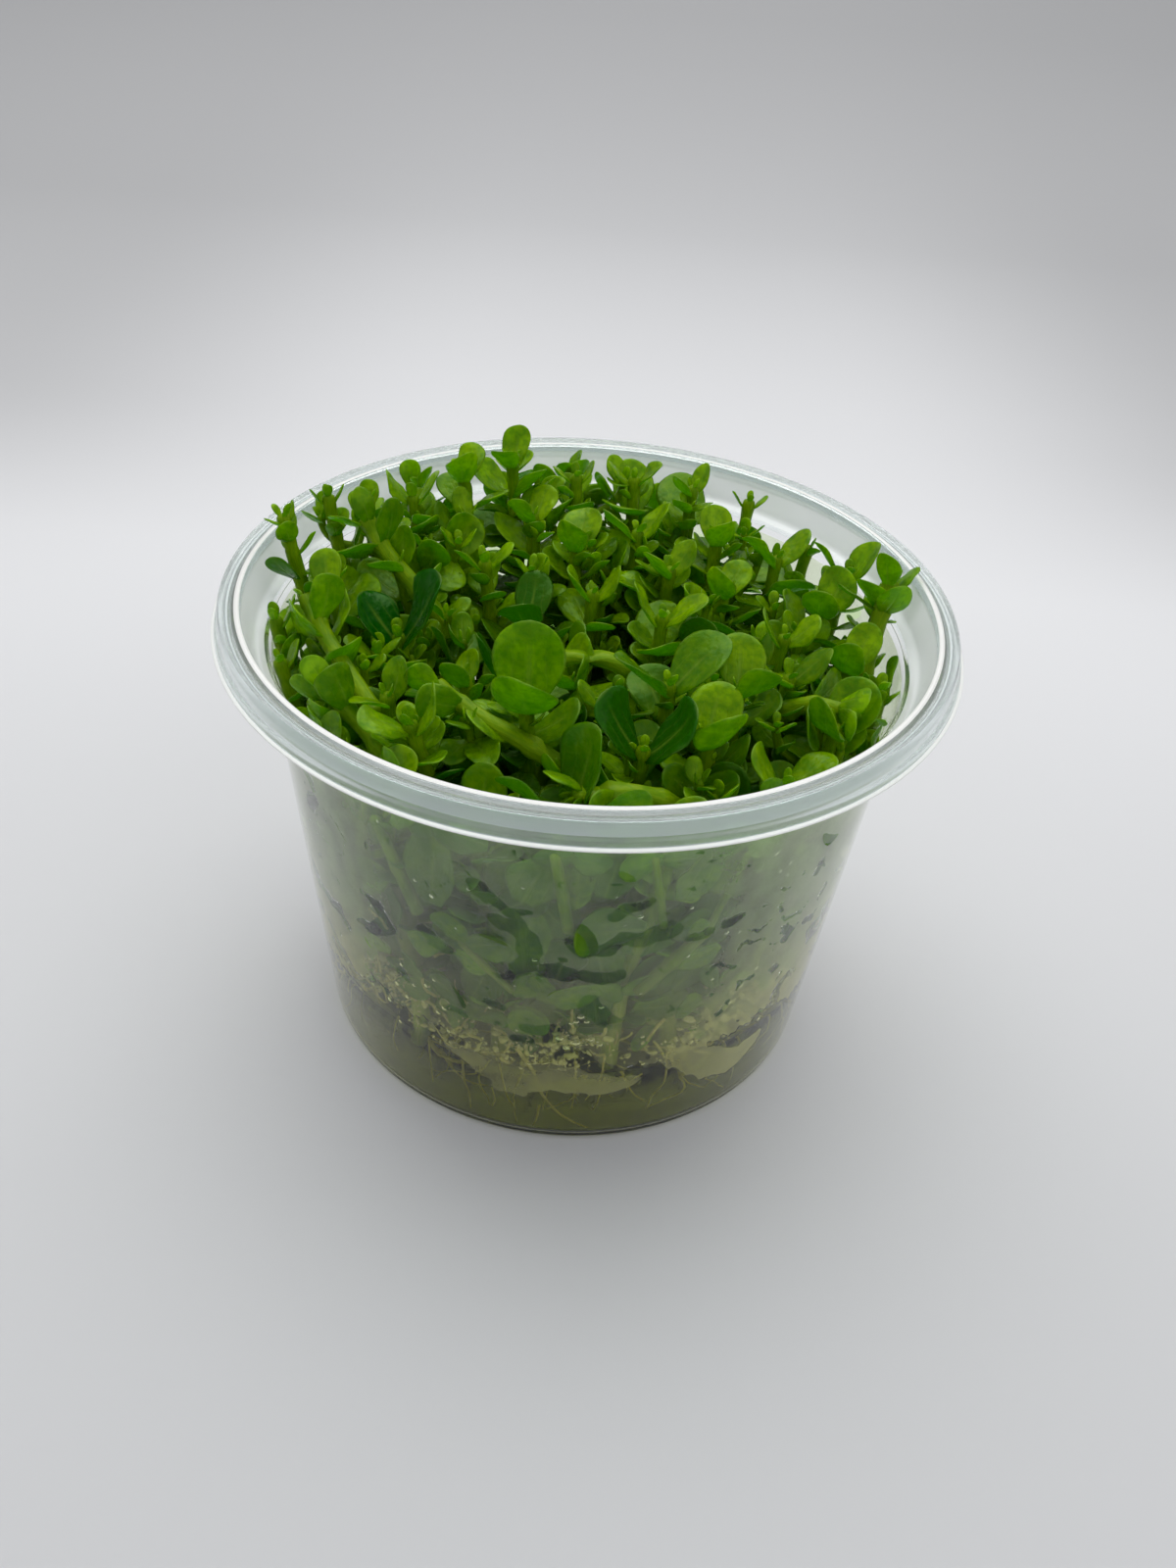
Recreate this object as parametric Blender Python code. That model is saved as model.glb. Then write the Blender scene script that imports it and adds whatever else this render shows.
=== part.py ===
"""Bacopa grown in a clear cup: a turned cup, a disc of gel, and separate sprigs standing on the gel."""

import math

import bpy
from mathutils import Vector
from mathutils.bvhtree import BVHTree

MM = 0.001

# The cup. Millimetres, origin at the middle of its underside, +Z up
CUP_HEIGHT = 68.7
BASE_RADIUS = 37.6
TAPER = 0.1  # radius gained for each millimetre of height
WALL = 0.8
BASE_EDGE = 1.0
LEDGE_DROP = 6.1  # from the top down to where the wall opens out to the collar
COLLAR_DROP = 4.3
COLLAR_RADIUS = 45.3
MOUTH_RADIUS = 46.6
BEAD_RADIUS = 47.3
RIM_RADIUS = 49.8
LIP_RADIUS = 50.5
LIP_DROP = 3.6
LIP_FACE = 0.6  # height of the lip's upright face
RIM_SLOPE = 1.1  # height of the slope between the lip and the rim
RIM_EDGE = 0.4
BEAD_DEPTH = 0.3
MOUTH_DROP = 1.4
FLOOR_CORNER = 0.6  # the inside corner between wall and floor
CUP_SIDES = 48

# The gel
GEL_TOP = 14.8
GEL_CORNER = 0.9
GAP = 0.3

# The sprigs
STEM_RADIUS = 1.3
STEM_TIP_RADIUS = 0.85
STEM_RISE = 17.0  # how far a stem goes straight up before it bends over
TIP_RISE = 12.0  # how far it straightens up again below its tip
TIP_LEAN = 0.25  # of the way sideways from foot to tip, still to go at that place
STEM_SIDES = 6
STEM_STEP = 0.002  # of the curve, for measuring along it
TEST_LENGTHS = 8  # short lengths of a stem, for testing what touches it
PAIR_DROPS = (0.9, 5.5, 12.0)  # from the tip down to each pair of leaves
NODE_HEIGHT = 1.4  # the short piece of stem that a pair grows from
PAIR_TILTS = (38.0, 56.0, 68.0)  # degrees between the stem and the leaves of each pair
LEAF_WIDTH = 0.78  # of the leaf's length
LEAF_THICKNESS = 0.6
WIDEST = 0.62  # along the leaf
BLUNT_END = 0.55  # width of the end, of the leaf's width
CLEARANCE = 0.45
LEAST_HEIGHT = 1.0  # of a leaf over the gel
# Along the leaf, its share of the full width, and how far it lifts, each of its own measure
LEAF_PLACES = ((0.12, 0.3, 0.0), (WIDEST, 1.0, -0.03), (1.0, BLUNT_END, 0.05))

# The room for leaves over the ledge, the mouth and the rim
COLLAR_SLOPE = 0.6
RIM_HEIGHT_UNDER = 1.0
RIM_HEIGHT_OVER = 0.8
MOUTH_MARGIN = 0.4
RIM_MARGIN = 0.8

# A leaf that would touch its neighbours turns, tips or shrinks until it clears them
TURNS = (0, 12, -12, 24, -24, 38, -38)
TIPS = (0, -12, 12)
SHRINKS = (1.0, 0.85, 0.7, 0.55)

# Each sprig: the tip's place, the foot's place on the gel, the way its top pair faces in
# degrees (0 is along X), and the leaf length of each pair from the top. Chosen by eye.
SPRIGS = (
    ((-39, 17, 71), (-31, 10), 20, (3, 4, 6)),
    ((-43, 6, 73), (-33, 2), 60, (3, 4, 7)),
    ((-42, -6, 64), (-34, -9), 10, (5, 7, 7)),
    ((-40, -13, 62), (-32, -13), 30, (4, 6, 7)),
    ((-36, 0, 66), (-27, 4), 100, (6, 9, 7)),
    ((-34, 20, 69), (-27, 17), 80, (4, 6, 7)),
    ((-28, 25, 68), (-22, 22), 10, (6, 7, 7)),
    ((-21, 30, 70), (-16, 26), 70, (6, 7, 8)),
    ((-14, 34, 71), (-10, 30), 75, (6, 7, 8)),
    ((-10, 26, 66), (-7, 20), 60, (6, 8)),
    ((-4, 34, 69), (-3, 31), 15, (4, 6, 7)),
    ((-3, 20, 65), (-2, 15), 75, (7, 6, 7)),
    ((6, 25, 65), (5, 20), 30, (7, 8)),
    ((5, 37, 68), (6, 32), 0, (5, 9, 7)),
    ((14, 33, 69), (13, 27), 50, (5, 10, 8)),
    ((18, 25, 65), (17, 18), 100, (6, 7)),
    ((23, 34, 67), (20, 28), 0, (3, 4, 6)),
    ((27, 22, 64), (24, 16), 30, (7, 8)),
    ((32, 26, 64), (26, 22), 70, (3, 4, 7)),
    ((37, 17, 65), (31, 14), 0, (7, 6, 7)),
    ((41, 8, 66), (33, 4), 45, (7, 7, 6)),
    ((40, -6, 60), (33, -9), 0, (4, 4, 7)),
    ((33, 10, 63), (27, 9), 70, (7, 8)),
    ((27, 1, 63), (22, 5), 10, (6, 7)),
    ((19, 13, 63), (15, 11), 60, (6, 7)),
    ((10, 4, 63), (9, 4), 0, (7, 8)),
    ((11, 16, 64), (8, 13), 45, (6, 8)),
    ((0, 11, 62), (-1, 8), 20, (6, 7)),
    ((-9, 8, 59), (-7, 4), 80, (8, 8)),
    ((-16, 14, 64), (-11, 12), 20, (5, 6, 7)),
    ((-28, 10, 65), (-18, 8), 70, (6, 8)),
    ((-35, -8, 64), (-19, -31), 45, (7, 7, 7)),
    ((-26, -3, 61), (-19, -3), 10, (12, 8)),
    ((-25, -19, 62), (-23, -13), 60, (6, 7, 7)),
    ((-21, -26, 63), (-12, -23), 0, (7, 6, 7)),
    ((-16, -12, 61), (-2, -25), 80, (5, 6)),
    ((-7, -21, 64), (-6, -14), 90, (11, 8)),
    ((-1, -33, 58), (15, -30), 30, (11, 7)),
    ((8, -25, 61), (5, -20), 0, (10, 8)),
    ((11, -13, 63), (11, -11), 30, (10, 8)),
    ((16, -23, 62), (18, -21), 80, (8, 7)),
    ((20, -14, 64), (19, -13), 100, (8, 7)),
    ((27, -9, 63), (26, -6), 20, (7, 7)),
    ((33, -17, 61), (28, -15), 50, (8, 7, 7)),
    ((26, -27, 59), (22, -27), 0, (7, 7, 7)),
    ((-25, -32, 58), (-29, -20), 70, (7, 7, 7)),
    ((-12, -34, 56), (-8, -32), 45, (7, 7, 7)),
    ((12, -38, 57), (7, -34), 60, (7, 8, 7)),
    ((-2, 2, 53), (0, 0), 30, (4, 4)),
    ((-2, -6, 58), (16, -4), 60, (7, 7)),
    ((-11, -4, 57), (-11, -8), 10, (8, 8)),
    ((36, -3, 62), (29, -1), 60, (7, 8)),
)


def clear_scene():
    for item in list(bpy.data.objects):
        bpy.data.objects.remove(item, do_unlink=True)


def material(name, colour, roughness, transmission=0.0, ior=1.45):
    made = bpy.data.materials.new(name)
    made.use_nodes = True
    shader = made.node_tree.nodes["Principled BSDF"]
    shader.inputs["Base Color"].default_value = (*colour, 1.0)
    shader.inputs["Roughness"].default_value = roughness
    shader.inputs["Metallic"].default_value = 0.0
    shader.inputs["Transmission Weight"].default_value = transmission
    shader.inputs["IOR"].default_value = ior
    made.diffuse_color = (*colour, 1.0)
    return made


def add_object(name, points, faces, look, sharp_degrees):
    mesh = bpy.data.meshes.new(name)
    mesh.from_pydata([Vector(p) * MM for p in points], [], faces)
    mesh.materials.append(look)
    mesh.shade_smooth()
    mesh.set_sharp_from_angle(angle=math.radians(sharp_degrees))
    made = bpy.data.objects.new(name, mesh)
    bpy.context.scene.collection.objects.link(made)
    return made


def turned(profile, sides):
    """Points and faces of a profile turned about Z, from the middle underneath round to the middle on top."""
    points = [(0.0, 0.0, profile[0][1])]
    for radius, height in profile:
        for side in range(sides):
            angle = 2 * math.pi * side / sides
            points.append((radius * math.cos(angle), radius * math.sin(angle), height))
    points.append((0.0, 0.0, profile[-1][1]))
    faces = []
    for side in range(sides):
        after = (side + 1) % sides
        faces.append((0, 1 + after, 1 + side))
        for ring in range(len(profile) - 1):
            low, high = 1 + ring * sides, 1 + (ring + 1) * sides
            faces.append((low + side, low + after, high + after, high + side))
        last = 1 + (len(profile) - 1) * sides
        faces.append((last + side, last + after, len(points) - 1))
    return points, faces


def outer_wall(height):
    return BASE_RADIUS + TAPER * height


def inner_wall(height):
    return outer_wall(height) - WALL


def cup_profile():
    """Up the outside, round the lip and the rim, and down the inside to the floor."""
    ledge = CUP_HEIGHT - LEDGE_DROP
    collar = CUP_HEIGHT - COLLAR_DROP
    lip = CUP_HEIGHT - LIP_DROP
    under_rim = CUP_HEIGHT - WALL
    mouth = CUP_HEIGHT - MOUTH_DROP
    outside = [
        (BASE_RADIUS - BASE_EDGE, 0.0),
        (BASE_RADIUS - 0.25 * BASE_EDGE, 0.25 * BASE_EDGE),
        (outer_wall(BASE_EDGE), BASE_EDGE),
        (outer_wall(ledge - WALL), ledge - WALL),
        (COLLAR_RADIUS + WALL, collar - 0.6 * WALL),
        (MOUTH_RADIUS + WALL, mouth - BEAD_DEPTH),
        (RIM_RADIUS - WALL, under_rim),
        (LIP_RADIUS - WALL, lip),
    ]
    lip_and_rim = [
        (LIP_RADIUS, lip),
        (LIP_RADIUS, lip + LIP_FACE),
        (RIM_RADIUS + 0.1, lip + LIP_FACE + RIM_SLOPE),
        (RIM_RADIUS, CUP_HEIGHT - RIM_EDGE),
        (RIM_RADIUS - RIM_EDGE, CUP_HEIGHT),
        (BEAD_RADIUS, CUP_HEIGHT),
    ]
    inside = [
        (MOUTH_RADIUS - 0.1, CUP_HEIGHT - BEAD_DEPTH),
        (MOUTH_RADIUS, mouth),
        (COLLAR_RADIUS, collar),
        (inner_wall(ledge), ledge),
        (inner_wall(WALL + FLOOR_CORNER), WALL + FLOOR_CORNER),
        (inner_wall(WALL) - FLOOR_CORNER, WALL),
    ]
    return outside + lip_and_rim + inside


def gel_profile():
    low = WALL + GAP
    return [
        (inner_wall(low) - FLOOR_CORNER - GAP, low),
        (inner_wall(low + GEL_CORNER) - GAP, low + GEL_CORNER),
        (inner_wall(GEL_TOP) - GAP, GEL_TOP),
    ]


def room_inside(height):
    """The largest radius that a plant may reach at a height."""
    ledge = CUP_HEIGHT - LEDGE_DROP
    if height < ledge:
        return inner_wall(height)
    if height < CUP_HEIGHT - RIM_HEIGHT_UNDER:
        return inner_wall(ledge) + (height - ledge) * COLLAR_SLOPE
    if height < CUP_HEIGHT + RIM_HEIGHT_OVER:
        return MOUTH_RADIUS - MOUTH_MARGIN
    return RIM_RADIUS - RIM_MARGIN


class Stem:
    """The middle line of one stem, as a cubic curve, with a frame that doesn't twist."""

    def __init__(self, tip, foot, turn):
        top = Vector(tip)
        start = Vector((foot[0], foot[1], GEL_TOP + GAP))
        lean = Vector((top.x - start.x, top.y - start.y, 0.0)) * TIP_LEAN
        before_tip = top - lean - Vector((0.0, 0.0, TIP_RISE))
        self.ends = (start, start + Vector((0.0, 0.0, STEM_RISE)), before_tip, top)
        self.turn = math.radians(turn)

    def point(self, t):
        a, b, c, d = self.ends
        u = 1.0 - t
        return a * u**3 + b * (3 * u * u * t) + c * (3 * u * t * t) + d * t**3

    def heading(self, t):
        a, b, c, d = self.ends
        u = 1.0 - t
        return ((b - a) * (u * u) + (c - b) * (2 * u * t) + (d - c) * (t * t)).normalized()

    def at_drop(self, drop):
        """The parameter of the place this far down from the tip."""
        t, gone, place = 1.0, 0.0, self.point(1.0)
        while gone < drop and t > 0.0:
            t -= STEM_STEP
            below = self.point(t)
            gone += (below - place).length
            place = below
        return t

    def radius(self, t):
        return STEM_RADIUS + (STEM_TIP_RADIUS - STEM_RADIUS) * t

    def sideways(self, t, angle):
        """The direction square to the stem that faces this way round it."""
        heading = self.heading(t)
        flat = Vector((math.cos(self.turn + angle), math.sin(self.turn + angle), 0.0))
        return (flat - heading * flat.dot(heading)).normalized()


def leaf_rings(stem, pair, side, length, turn=0.0, tip=0.0, grow=0.0):
    """Four corners of a leaf at its neck, its widest place and its end."""
    t = stem.at_drop(PAIR_DROPS[pair])
    angle = math.pi / 2 * pair + math.pi * side + math.radians(turn)
    heading = stem.heading(t)
    out = stem.sideways(t, angle)
    across = heading.cross(out)
    tilt = math.radians(PAIR_TILTS[pair] + tip)
    blade = heading * math.cos(tilt) + out * math.sin(tilt)
    up = blade.cross(across)
    neck = stem.point(t) + out * stem.radius(t)
    width = LEAF_WIDTH * length
    half = LEAF_THICKNESS / 2 + grow
    rings = []
    for along, share, lift in LEAF_PLACES:
        middle = neck + blade * (length + grow) * along + up * length * lift
        reach = across * (width * share / 2 + grow)
        rings.append([middle + reach * a + up * half * b for a, b in ((-1, -1), (1, -1), (1, 1), (-1, 1))])
    return rings


def shell(rings):
    """A closed surface through rings of the same number of corners."""
    sides = len(rings[0])
    points = [p for ring in rings for p in ring]
    faces = [tuple(reversed(range(sides)))]
    for k in range(len(rings) - 1):
        for i in range(sides):
            j = (i + 1) % sides
            faces.append((k * sides + i, k * sides + j, (k + 1) * sides + j, (k + 1) * sides + i))
    faces.append(tuple((len(rings) - 1) * sides + i for i in range(sides)))
    return points, faces


class Placed:
    """A shape that already stands, for later leaves to keep clear of."""

    def __init__(self, owner, rings, is_stem=False):
        points, faces = shell(rings)
        self.owner, self.is_stem = owner, is_stem
        self.middle = sum(points, Vector()) / len(points)
        self.reach = max((p - self.middle).length for p in points)
        self.tree = BVHTree.FromPolygons(points, faces)

    def touches(self, other):
        if (self.middle - other.middle).length > self.reach + other.reach:
            return False
        return bool(self.tree.overlap(other.tree))


def stem_ring(stem, t, phase):
    middle, radius = stem.point(t), stem.radius(t)
    step = 2 * math.pi / STEM_SIDES
    return [middle + stem.sideways(t, phase + step * i) * radius for i in range(STEM_SIDES)]


def stem_pieces(owner, stem):
    """The stem in short lengths, so that a leaf is tested only against what is near it."""
    stops = [i / TEST_LENGTHS for i in range(TEST_LENGTHS + 1)]
    for low, high in zip(stops, stops[1:]):
        rings = [stem_ring(stem, low, 0.0), stem_ring(stem, high, 0.0)]
        yield Placed(owner, rings, is_stem=True)


def inside_cup(points):
    for p in points:
        if math.hypot(p.x, p.y) > room_inside(p.z) - CLEARANCE:
            return False
        if p.z < GEL_TOP + LEAST_HEIGHT:
            return False
    return True


def fit_leaf(owner, stem, pair, side, length, standing):
    """The first turn, tip and size at which a leaf clears the cup and all that stands, or None."""
    for shrink in SHRINKS:
        for tip in TIPS:
            for turn in TURNS:
                rings = leaf_rings(stem, pair, side, length * shrink, turn, tip, CLEARANCE)
                if not inside_cup([p for ring in rings for p in ring]):
                    continue
                wanted = Placed(owner, rings)
                clear = all(
                    not wanted.touches(other)
                    for other in standing
                    if not (other.is_stem and other.owner == owner)
                )
                if clear:
                    return (length * shrink, turn, tip)
    return None


def grow_leaves(stems):
    """Chooses every leaf: all the top pairs first, then the pairs below them."""
    standing = [piece for owner, stem in enumerate(stems) for piece in stem_pieces(owner, stem)]
    leaves = {}
    for pair in range(len(PAIR_DROPS)):
        for owner, stem in enumerate(stems):
            lengths = SPRIGS[owner][3]
            if pair >= len(lengths):
                continue
            for side in (0, 1):
                fit = fit_leaf(owner, stem, pair, side, lengths[pair], standing)
                if fit:
                    leaves[owner, pair, side] = fit
                    standing.append(Placed(owner, leaf_rings(stem, pair, side, *fit)))
    return leaves


def sprig_mesh(owner, stem, leaves):
    """One closed surface: the stem's rings, with each leaf drawn out of a side of its node."""
    pairs = len(SPRIGS[owner][3])
    places = [(0.0, 0)]
    for pair in reversed(range(pairs)):
        drop = PAIR_DROPS[pair]
        places.append((stem.at_drop(drop + NODE_HEIGHT / 2), pair))
        places.append((stem.at_drop(max(drop - NODE_HEIGHT / 2, 0.0)), pair))
    rings = []
    for t, pair in places:
        phase = -math.pi / STEM_SIDES + (math.pi / STEM_SIDES if pair % 2 else 0.0)
        rings.append(stem_ring(stem, t, phase))
    points, faces = shell(rings)
    taken = set()
    for level, pair in enumerate(reversed(range(pairs))):
        low = (1 + 2 * level) * STEM_SIDES
        first = 1 if pair % 2 else 0
        for side in (0, 1):
            if (owner, pair, side) not in leaves:
                continue
            i = (first + (side + pair // 2) * STEM_SIDES // 2) % STEM_SIDES
            j = (i + 1) % STEM_SIDES
            root = (low + i, low + j, low + STEM_SIDES + j, low + STEM_SIDES + i)
            taken.add(root)
            for ring in leaf_rings(stem, pair, side, *leaves[owner, pair, side])[1:]:
                corners = tuple(range(len(points), len(points) + 4))
                points.extend(ring)
                for a in range(4):
                    b = (a + 1) % 4
                    faces.append((root[a], root[b], corners[b], corners[a]))
                root = corners
            faces.append(root)
    return points, [face for face in faces if face not in taken]


def build():
    clear_scene()
    clear_plastic = material("clear_plastic", (0.86, 0.90, 0.88), 0.08, transmission=0.9, ior=1.49)
    pale_gel = material("pale_gel", (0.30, 0.31, 0.14), 0.2, transmission=0.6, ior=1.34)
    leaf_green = material("leaf_green", (0.10, 0.22, 0.015), 0.35)
    add_object("cup", *turned(cup_profile(), CUP_SIDES), clear_plastic, 25)
    add_object("gel", *turned(gel_profile(), CUP_SIDES), pale_gel, 30)
    stems = [Stem(tip, foot, turn) for tip, foot, turn, _ in SPRIGS]
    leaves = grow_leaves(stems)
    for owner, stem in enumerate(stems):
        points, faces = sprig_mesh(owner, stem, leaves)
        add_object(f"sprig_{owner + 1:02d}", points, faces, leaf_green, 35)


build()
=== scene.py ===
import math
import random

import bpy
import numpy as np
from mathutils import Matrix, Vector
from mathutils.bvhtree import BVHTree


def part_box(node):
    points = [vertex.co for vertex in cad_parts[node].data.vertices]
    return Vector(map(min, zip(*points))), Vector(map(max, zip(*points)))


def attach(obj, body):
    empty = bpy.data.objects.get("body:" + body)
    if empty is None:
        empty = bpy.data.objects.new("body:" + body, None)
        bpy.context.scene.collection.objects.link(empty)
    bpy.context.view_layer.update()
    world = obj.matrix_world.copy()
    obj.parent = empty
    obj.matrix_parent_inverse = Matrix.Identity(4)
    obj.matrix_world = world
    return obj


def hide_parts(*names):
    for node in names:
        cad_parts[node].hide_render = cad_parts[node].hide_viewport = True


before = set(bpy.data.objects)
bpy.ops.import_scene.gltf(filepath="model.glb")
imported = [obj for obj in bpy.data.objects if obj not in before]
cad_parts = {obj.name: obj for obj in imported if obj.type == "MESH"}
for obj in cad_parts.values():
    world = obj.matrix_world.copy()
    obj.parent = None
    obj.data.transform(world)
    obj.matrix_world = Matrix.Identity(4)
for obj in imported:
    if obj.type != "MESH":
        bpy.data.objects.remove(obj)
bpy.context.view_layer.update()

# Lengths here are millimetres, and go to metres only where a mesh is made
mm = 0.001
world = bpy.context.scene.collection


# Small helpers for meshes and for shader nodes

def makeMesh(name, points, faces, looks, lookOfFace=None, maps=None, fields=None, sharp=None):
    # points is n x 3 in mm; maps are UVs and fields are plain numbers, one for each point
    mesh = bpy.data.meshes.new(name)
    mesh.from_pydata((np.asarray(points, float) * mm).tolist(), [], faces)
    for look in looks:
        mesh.materials.append(look)
    if lookOfFace is not None:
        mesh.polygons.foreach_set("material_index", np.asarray(lookOfFace, np.int32))
    corners = np.zeros(len(mesh.loops), np.int32)
    mesh.loops.foreach_get("vertex_index", corners)
    for title, values in (maps or {}).items():
        layer = mesh.uv_layers.new(name=title)
        layer.data.foreach_set("uv", np.asarray(values, np.float32)[corners].ravel())
    for title, values in (fields or {}).items():
        layer = mesh.attributes.new(title, "FLOAT", "POINT")
        layer.data.foreach_set("value", np.asarray(values, np.float32))
    mesh.shade_smooth()
    if sharp:
        mesh.set_sharp_from_angle(angle=math.radians(sharp))
    mesh.update()
    made = bpy.data.objects.new(name, mesh)
    world.objects.link(made)
    return made


def standFor(piece, slot, *nodes):
    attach(piece, "root")
    if nodes:
        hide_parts(*nodes)
    print("made", piece.name, len(piece.data.polygons), "faces")


def newLook(name):
    look = bpy.data.materials.new(name)
    look.use_nodes = True
    tree = look.node_tree
    tree.nodes.clear()
    return look, tree, tree.nodes.new("ShaderNodeOutputMaterial")


def put(tree, kind, values=None, **settings):
    # a node with its settings; each value is a constant or another node's socket
    node = tree.nodes.new("ShaderNode" + kind)
    for key, value in settings.items():
        setattr(node, key, value)
    for key, value in (values or {}).items():
        if isinstance(value, bpy.types.NodeSocket):
            tree.links.new(value, node.inputs[key])
        else:
            node.inputs[key].default_value = value
    return node


def calc(tree, operation, a, b=0.0, clamp=False):
    return put(tree, "Math", {0: a, 1: b}, operation=operation, use_clamp=clamp).outputs[0]


def remap(tree, value, low, high, toLow=0.0, toHigh=1.0, smooth=True):
    kind = "SMOOTHSTEP" if smooth else "LINEAR"
    values = {"Value": value, "From Min": low, "From Max": high, "To Min": toLow, "To Max": toHigh}
    return put(tree, "MapRange", values, interpolation_type=kind).outputs[0]


def blendColour(tree, share, a, b):
    return put(tree, "Mix", {0: share, 6: a, 7: b}, data_type="RGBA").outputs[2]


def speckle(tree, where, size, detail=2.0):
    # noise whose lumps are about this many mm across
    return put(tree, "TexNoise", {"Vector": where, "Scale": 1.0 / (size * mm), "Detail": detail}).outputs[0]


def readField(tree, name):
    return put(tree, "Attribute", attribute_name=name).outputs["Fac"]


def place(tree):
    return put(tree, "TexCoord").outputs["Object"]


def letLampsThrough(tree, shader, tint):
    # lamps shine through thin clear or leafy things without caustics
    clear = put(tree, "BsdfTransparent", {"Color": tint}).outputs[0]
    ray = put(tree, "LightPath").outputs["Is Shadow Ray"]
    return put(tree, "MixShader", {0: ray, 1: shader, 2: clear}).outputs[0]


# The camera: a phone held a little off level, looking down on the cup

cameraSettings = dict(
    place=(1.42, -167.474, 164.656),
    down=37.613,  # degrees under the horizon
    roll=4.367,
    lens=32.47,
)


def addCamera(s):
    camera = bpy.data.cameras.new("camera")
    camera.lens = s["lens"]
    camera.sensor_width = 36.0
    camera.clip_start = 0.01
    camera.clip_end = 20.0
    holder = bpy.data.objects.new("camera", camera)
    world.objects.link(holder)
    tilt = Matrix.Rotation(math.radians(90.0 - s["down"]), 4, "X")
    roll = Matrix.Rotation(math.radians(s["roll"]), 4, "Z")
    holder.matrix_world = Matrix.Translation(Vector(s["place"]) * mm) @ tilt @ roll
    bpy.context.scene.camera = holder


# The floor that curves up behind, the lamps and the pale room

stageSettings = dict(
    front=-1500.0,
    bend=420.0,  # where the floor starts to curve up
    bendRadius=500.0,
    wallHeight=900.0,
    halfWidth=1600.0,
    # painted light and shade: grey of the floor and wall at places along Y, in metres, lightest just behind the cup and
    # darker nearer and further off
    paintedLightGreys=((-0.35, 0.56), (-0.05, 0.67), (0.13, 0.80), (0.24, 0.71), (0.40, 0.54), (0.62, 0.43), (0.95, 0.385)),
    # painted shade on the far floor, to the left and right
    paintedSideShade=0.30,  # how much darker the far floor is to the left and right
)

lampSettings = dict(
    windowPlace=(-40.0, 330.0, 700.0),
    windowSize=(1000.0, 760.0),
    windowPower=5.0,
    fillPlace=(500.0, -500.0, 700.0),
    fillSize=(700.0, 700.0),
    fillPower=0.9,
    roomColour=(0.955, 0.97, 1.0),
    roomStrength=0.46,
)


def backdropLook(s):
    look, tree, out = newLook("backdrop")
    where = put(tree, "SeparateXYZ", {0: put(tree, "NewGeometry").outputs["Position"]})
    near, far = s["paintedLightGreys"][0][0], s["paintedLightGreys"][-1][0]
    # painted light and shade: the grey along Y is lightest just behind the cup
    ramp = put(tree, "ValToRGB", {0: remap(tree, where.outputs["Y"], near, far, smooth=False)})
    stops = ramp.color_ramp.elements
    for _ in s["paintedLightGreys"][2:]:
        stops.new(0.5)
    for stop, (y, grey) in zip(stops, s["paintedLightGreys"]):
        stop.position = (y - near) / (far - near)
        stop.color = (grey * 0.997, grey, grey * 1.013, 1.0)
    # painted shade: the far floor is darkened to the left and right
    across = calc(tree, "ABSOLUTE", calc(tree, "SUBTRACT", where.outputs["X"], 0.012))
    paintedShadeShare = remap(tree, across, 0.05, 0.20, 0.0, s["paintedSideShade"])
    paintedShadeShare = calc(tree, "MULTIPLY", paintedShadeShare, remap(tree, where.outputs["Y"], 0.08, 0.22))
    paintedShadeShare = calc(tree, "MULTIPLY", paintedShadeShare, remap(tree, where.outputs["Y"], 0.20, 0.60, 1.0, 0.10))
    colour = blendColour(tree, paintedShadeShare, ramp.outputs[0], (0.0, 0.0, 0.0, 1.0))
    values = {"Base Color": colour, "Roughness": 0.6, "Specular IOR Level": 0.25}
    shader = put(tree, "BsdfPrincipled", values)
    tree.links.new(shader.outputs[0], out.inputs["Surface"])
    return look


def addStage(s):
    steps = 24
    path = [(s["front"], 0.0), (s["bend"] * 0.5, 0.0)]
    for i in range(steps + 1):
        turn = math.pi / 2 * i / steps
        y = s["bend"] + s["bendRadius"] * math.sin(turn)
        path.append((y, s["bendRadius"] * (1.0 - math.cos(turn))))
    path.append((path[-1][0], path[-1][1] + s["wallHeight"]))
    points = [(side * s["halfWidth"], y, z) for y, z in path for side in (-1, 1)]
    faces = [(2 * i, 2 * i + 1, 2 * i + 3, 2 * i + 2) for i in range(len(path) - 1)]
    floor = makeMesh("floor", points, faces, [backdropLook(s)])


def addLamp(name, where, size, power, colour=(1.0, 1.0, 1.0)):
    lamp = bpy.data.lights.new(name, "AREA")
    lamp.shape = "RECTANGLE"
    lamp.size, lamp.size_y = size[0] * mm, size[1] * mm
    lamp.energy = power
    lamp.color = colour
    holder = bpy.data.objects.new(name, lamp)
    world.objects.link(holder)
    holder.location = Vector(where) * mm
    aim = Vector((0.0, 0.0, 40.0)) * mm - holder.location
    holder.rotation_euler = aim.to_track_quat("-Z", "Y").to_euler()


def addRoom(s):
    room = bpy.data.worlds.new("room")
    bpy.context.scene.world = room
    room.use_nodes = True
    sky = room.node_tree.nodes["Background"]
    sky.inputs["Color"].default_value = (*s["roomColour"], 1.0)
    sky.inputs["Strength"].default_value = s["roomStrength"]
    addLamp("window", s["windowPlace"], s["windowSize"], s["windowPower"])
    addLamp("fill", s["fillPlace"], s["fillSize"], s["fillPower"])
    scene = bpy.context.scene
    scene.view_settings.view_transform = "Standard"
    scene.cycles.max_bounces = 13
    scene.cycles.transmission_bounces = 12
    scene.cycles.diffuse_bounces = 3
    scene.cycles.glossy_bounces = 3
    scene.cycles.transparent_max_bounces = 14
    scene.cycles.sample_clamp_indirect = 4.0


addCamera(cameraSettings)
addStage(stageSettings)
addRoom(lampSettings)
print("camera, floor and lamps are up")


# The cup: one turned wall of clear plastic, with mist on its inside

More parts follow.
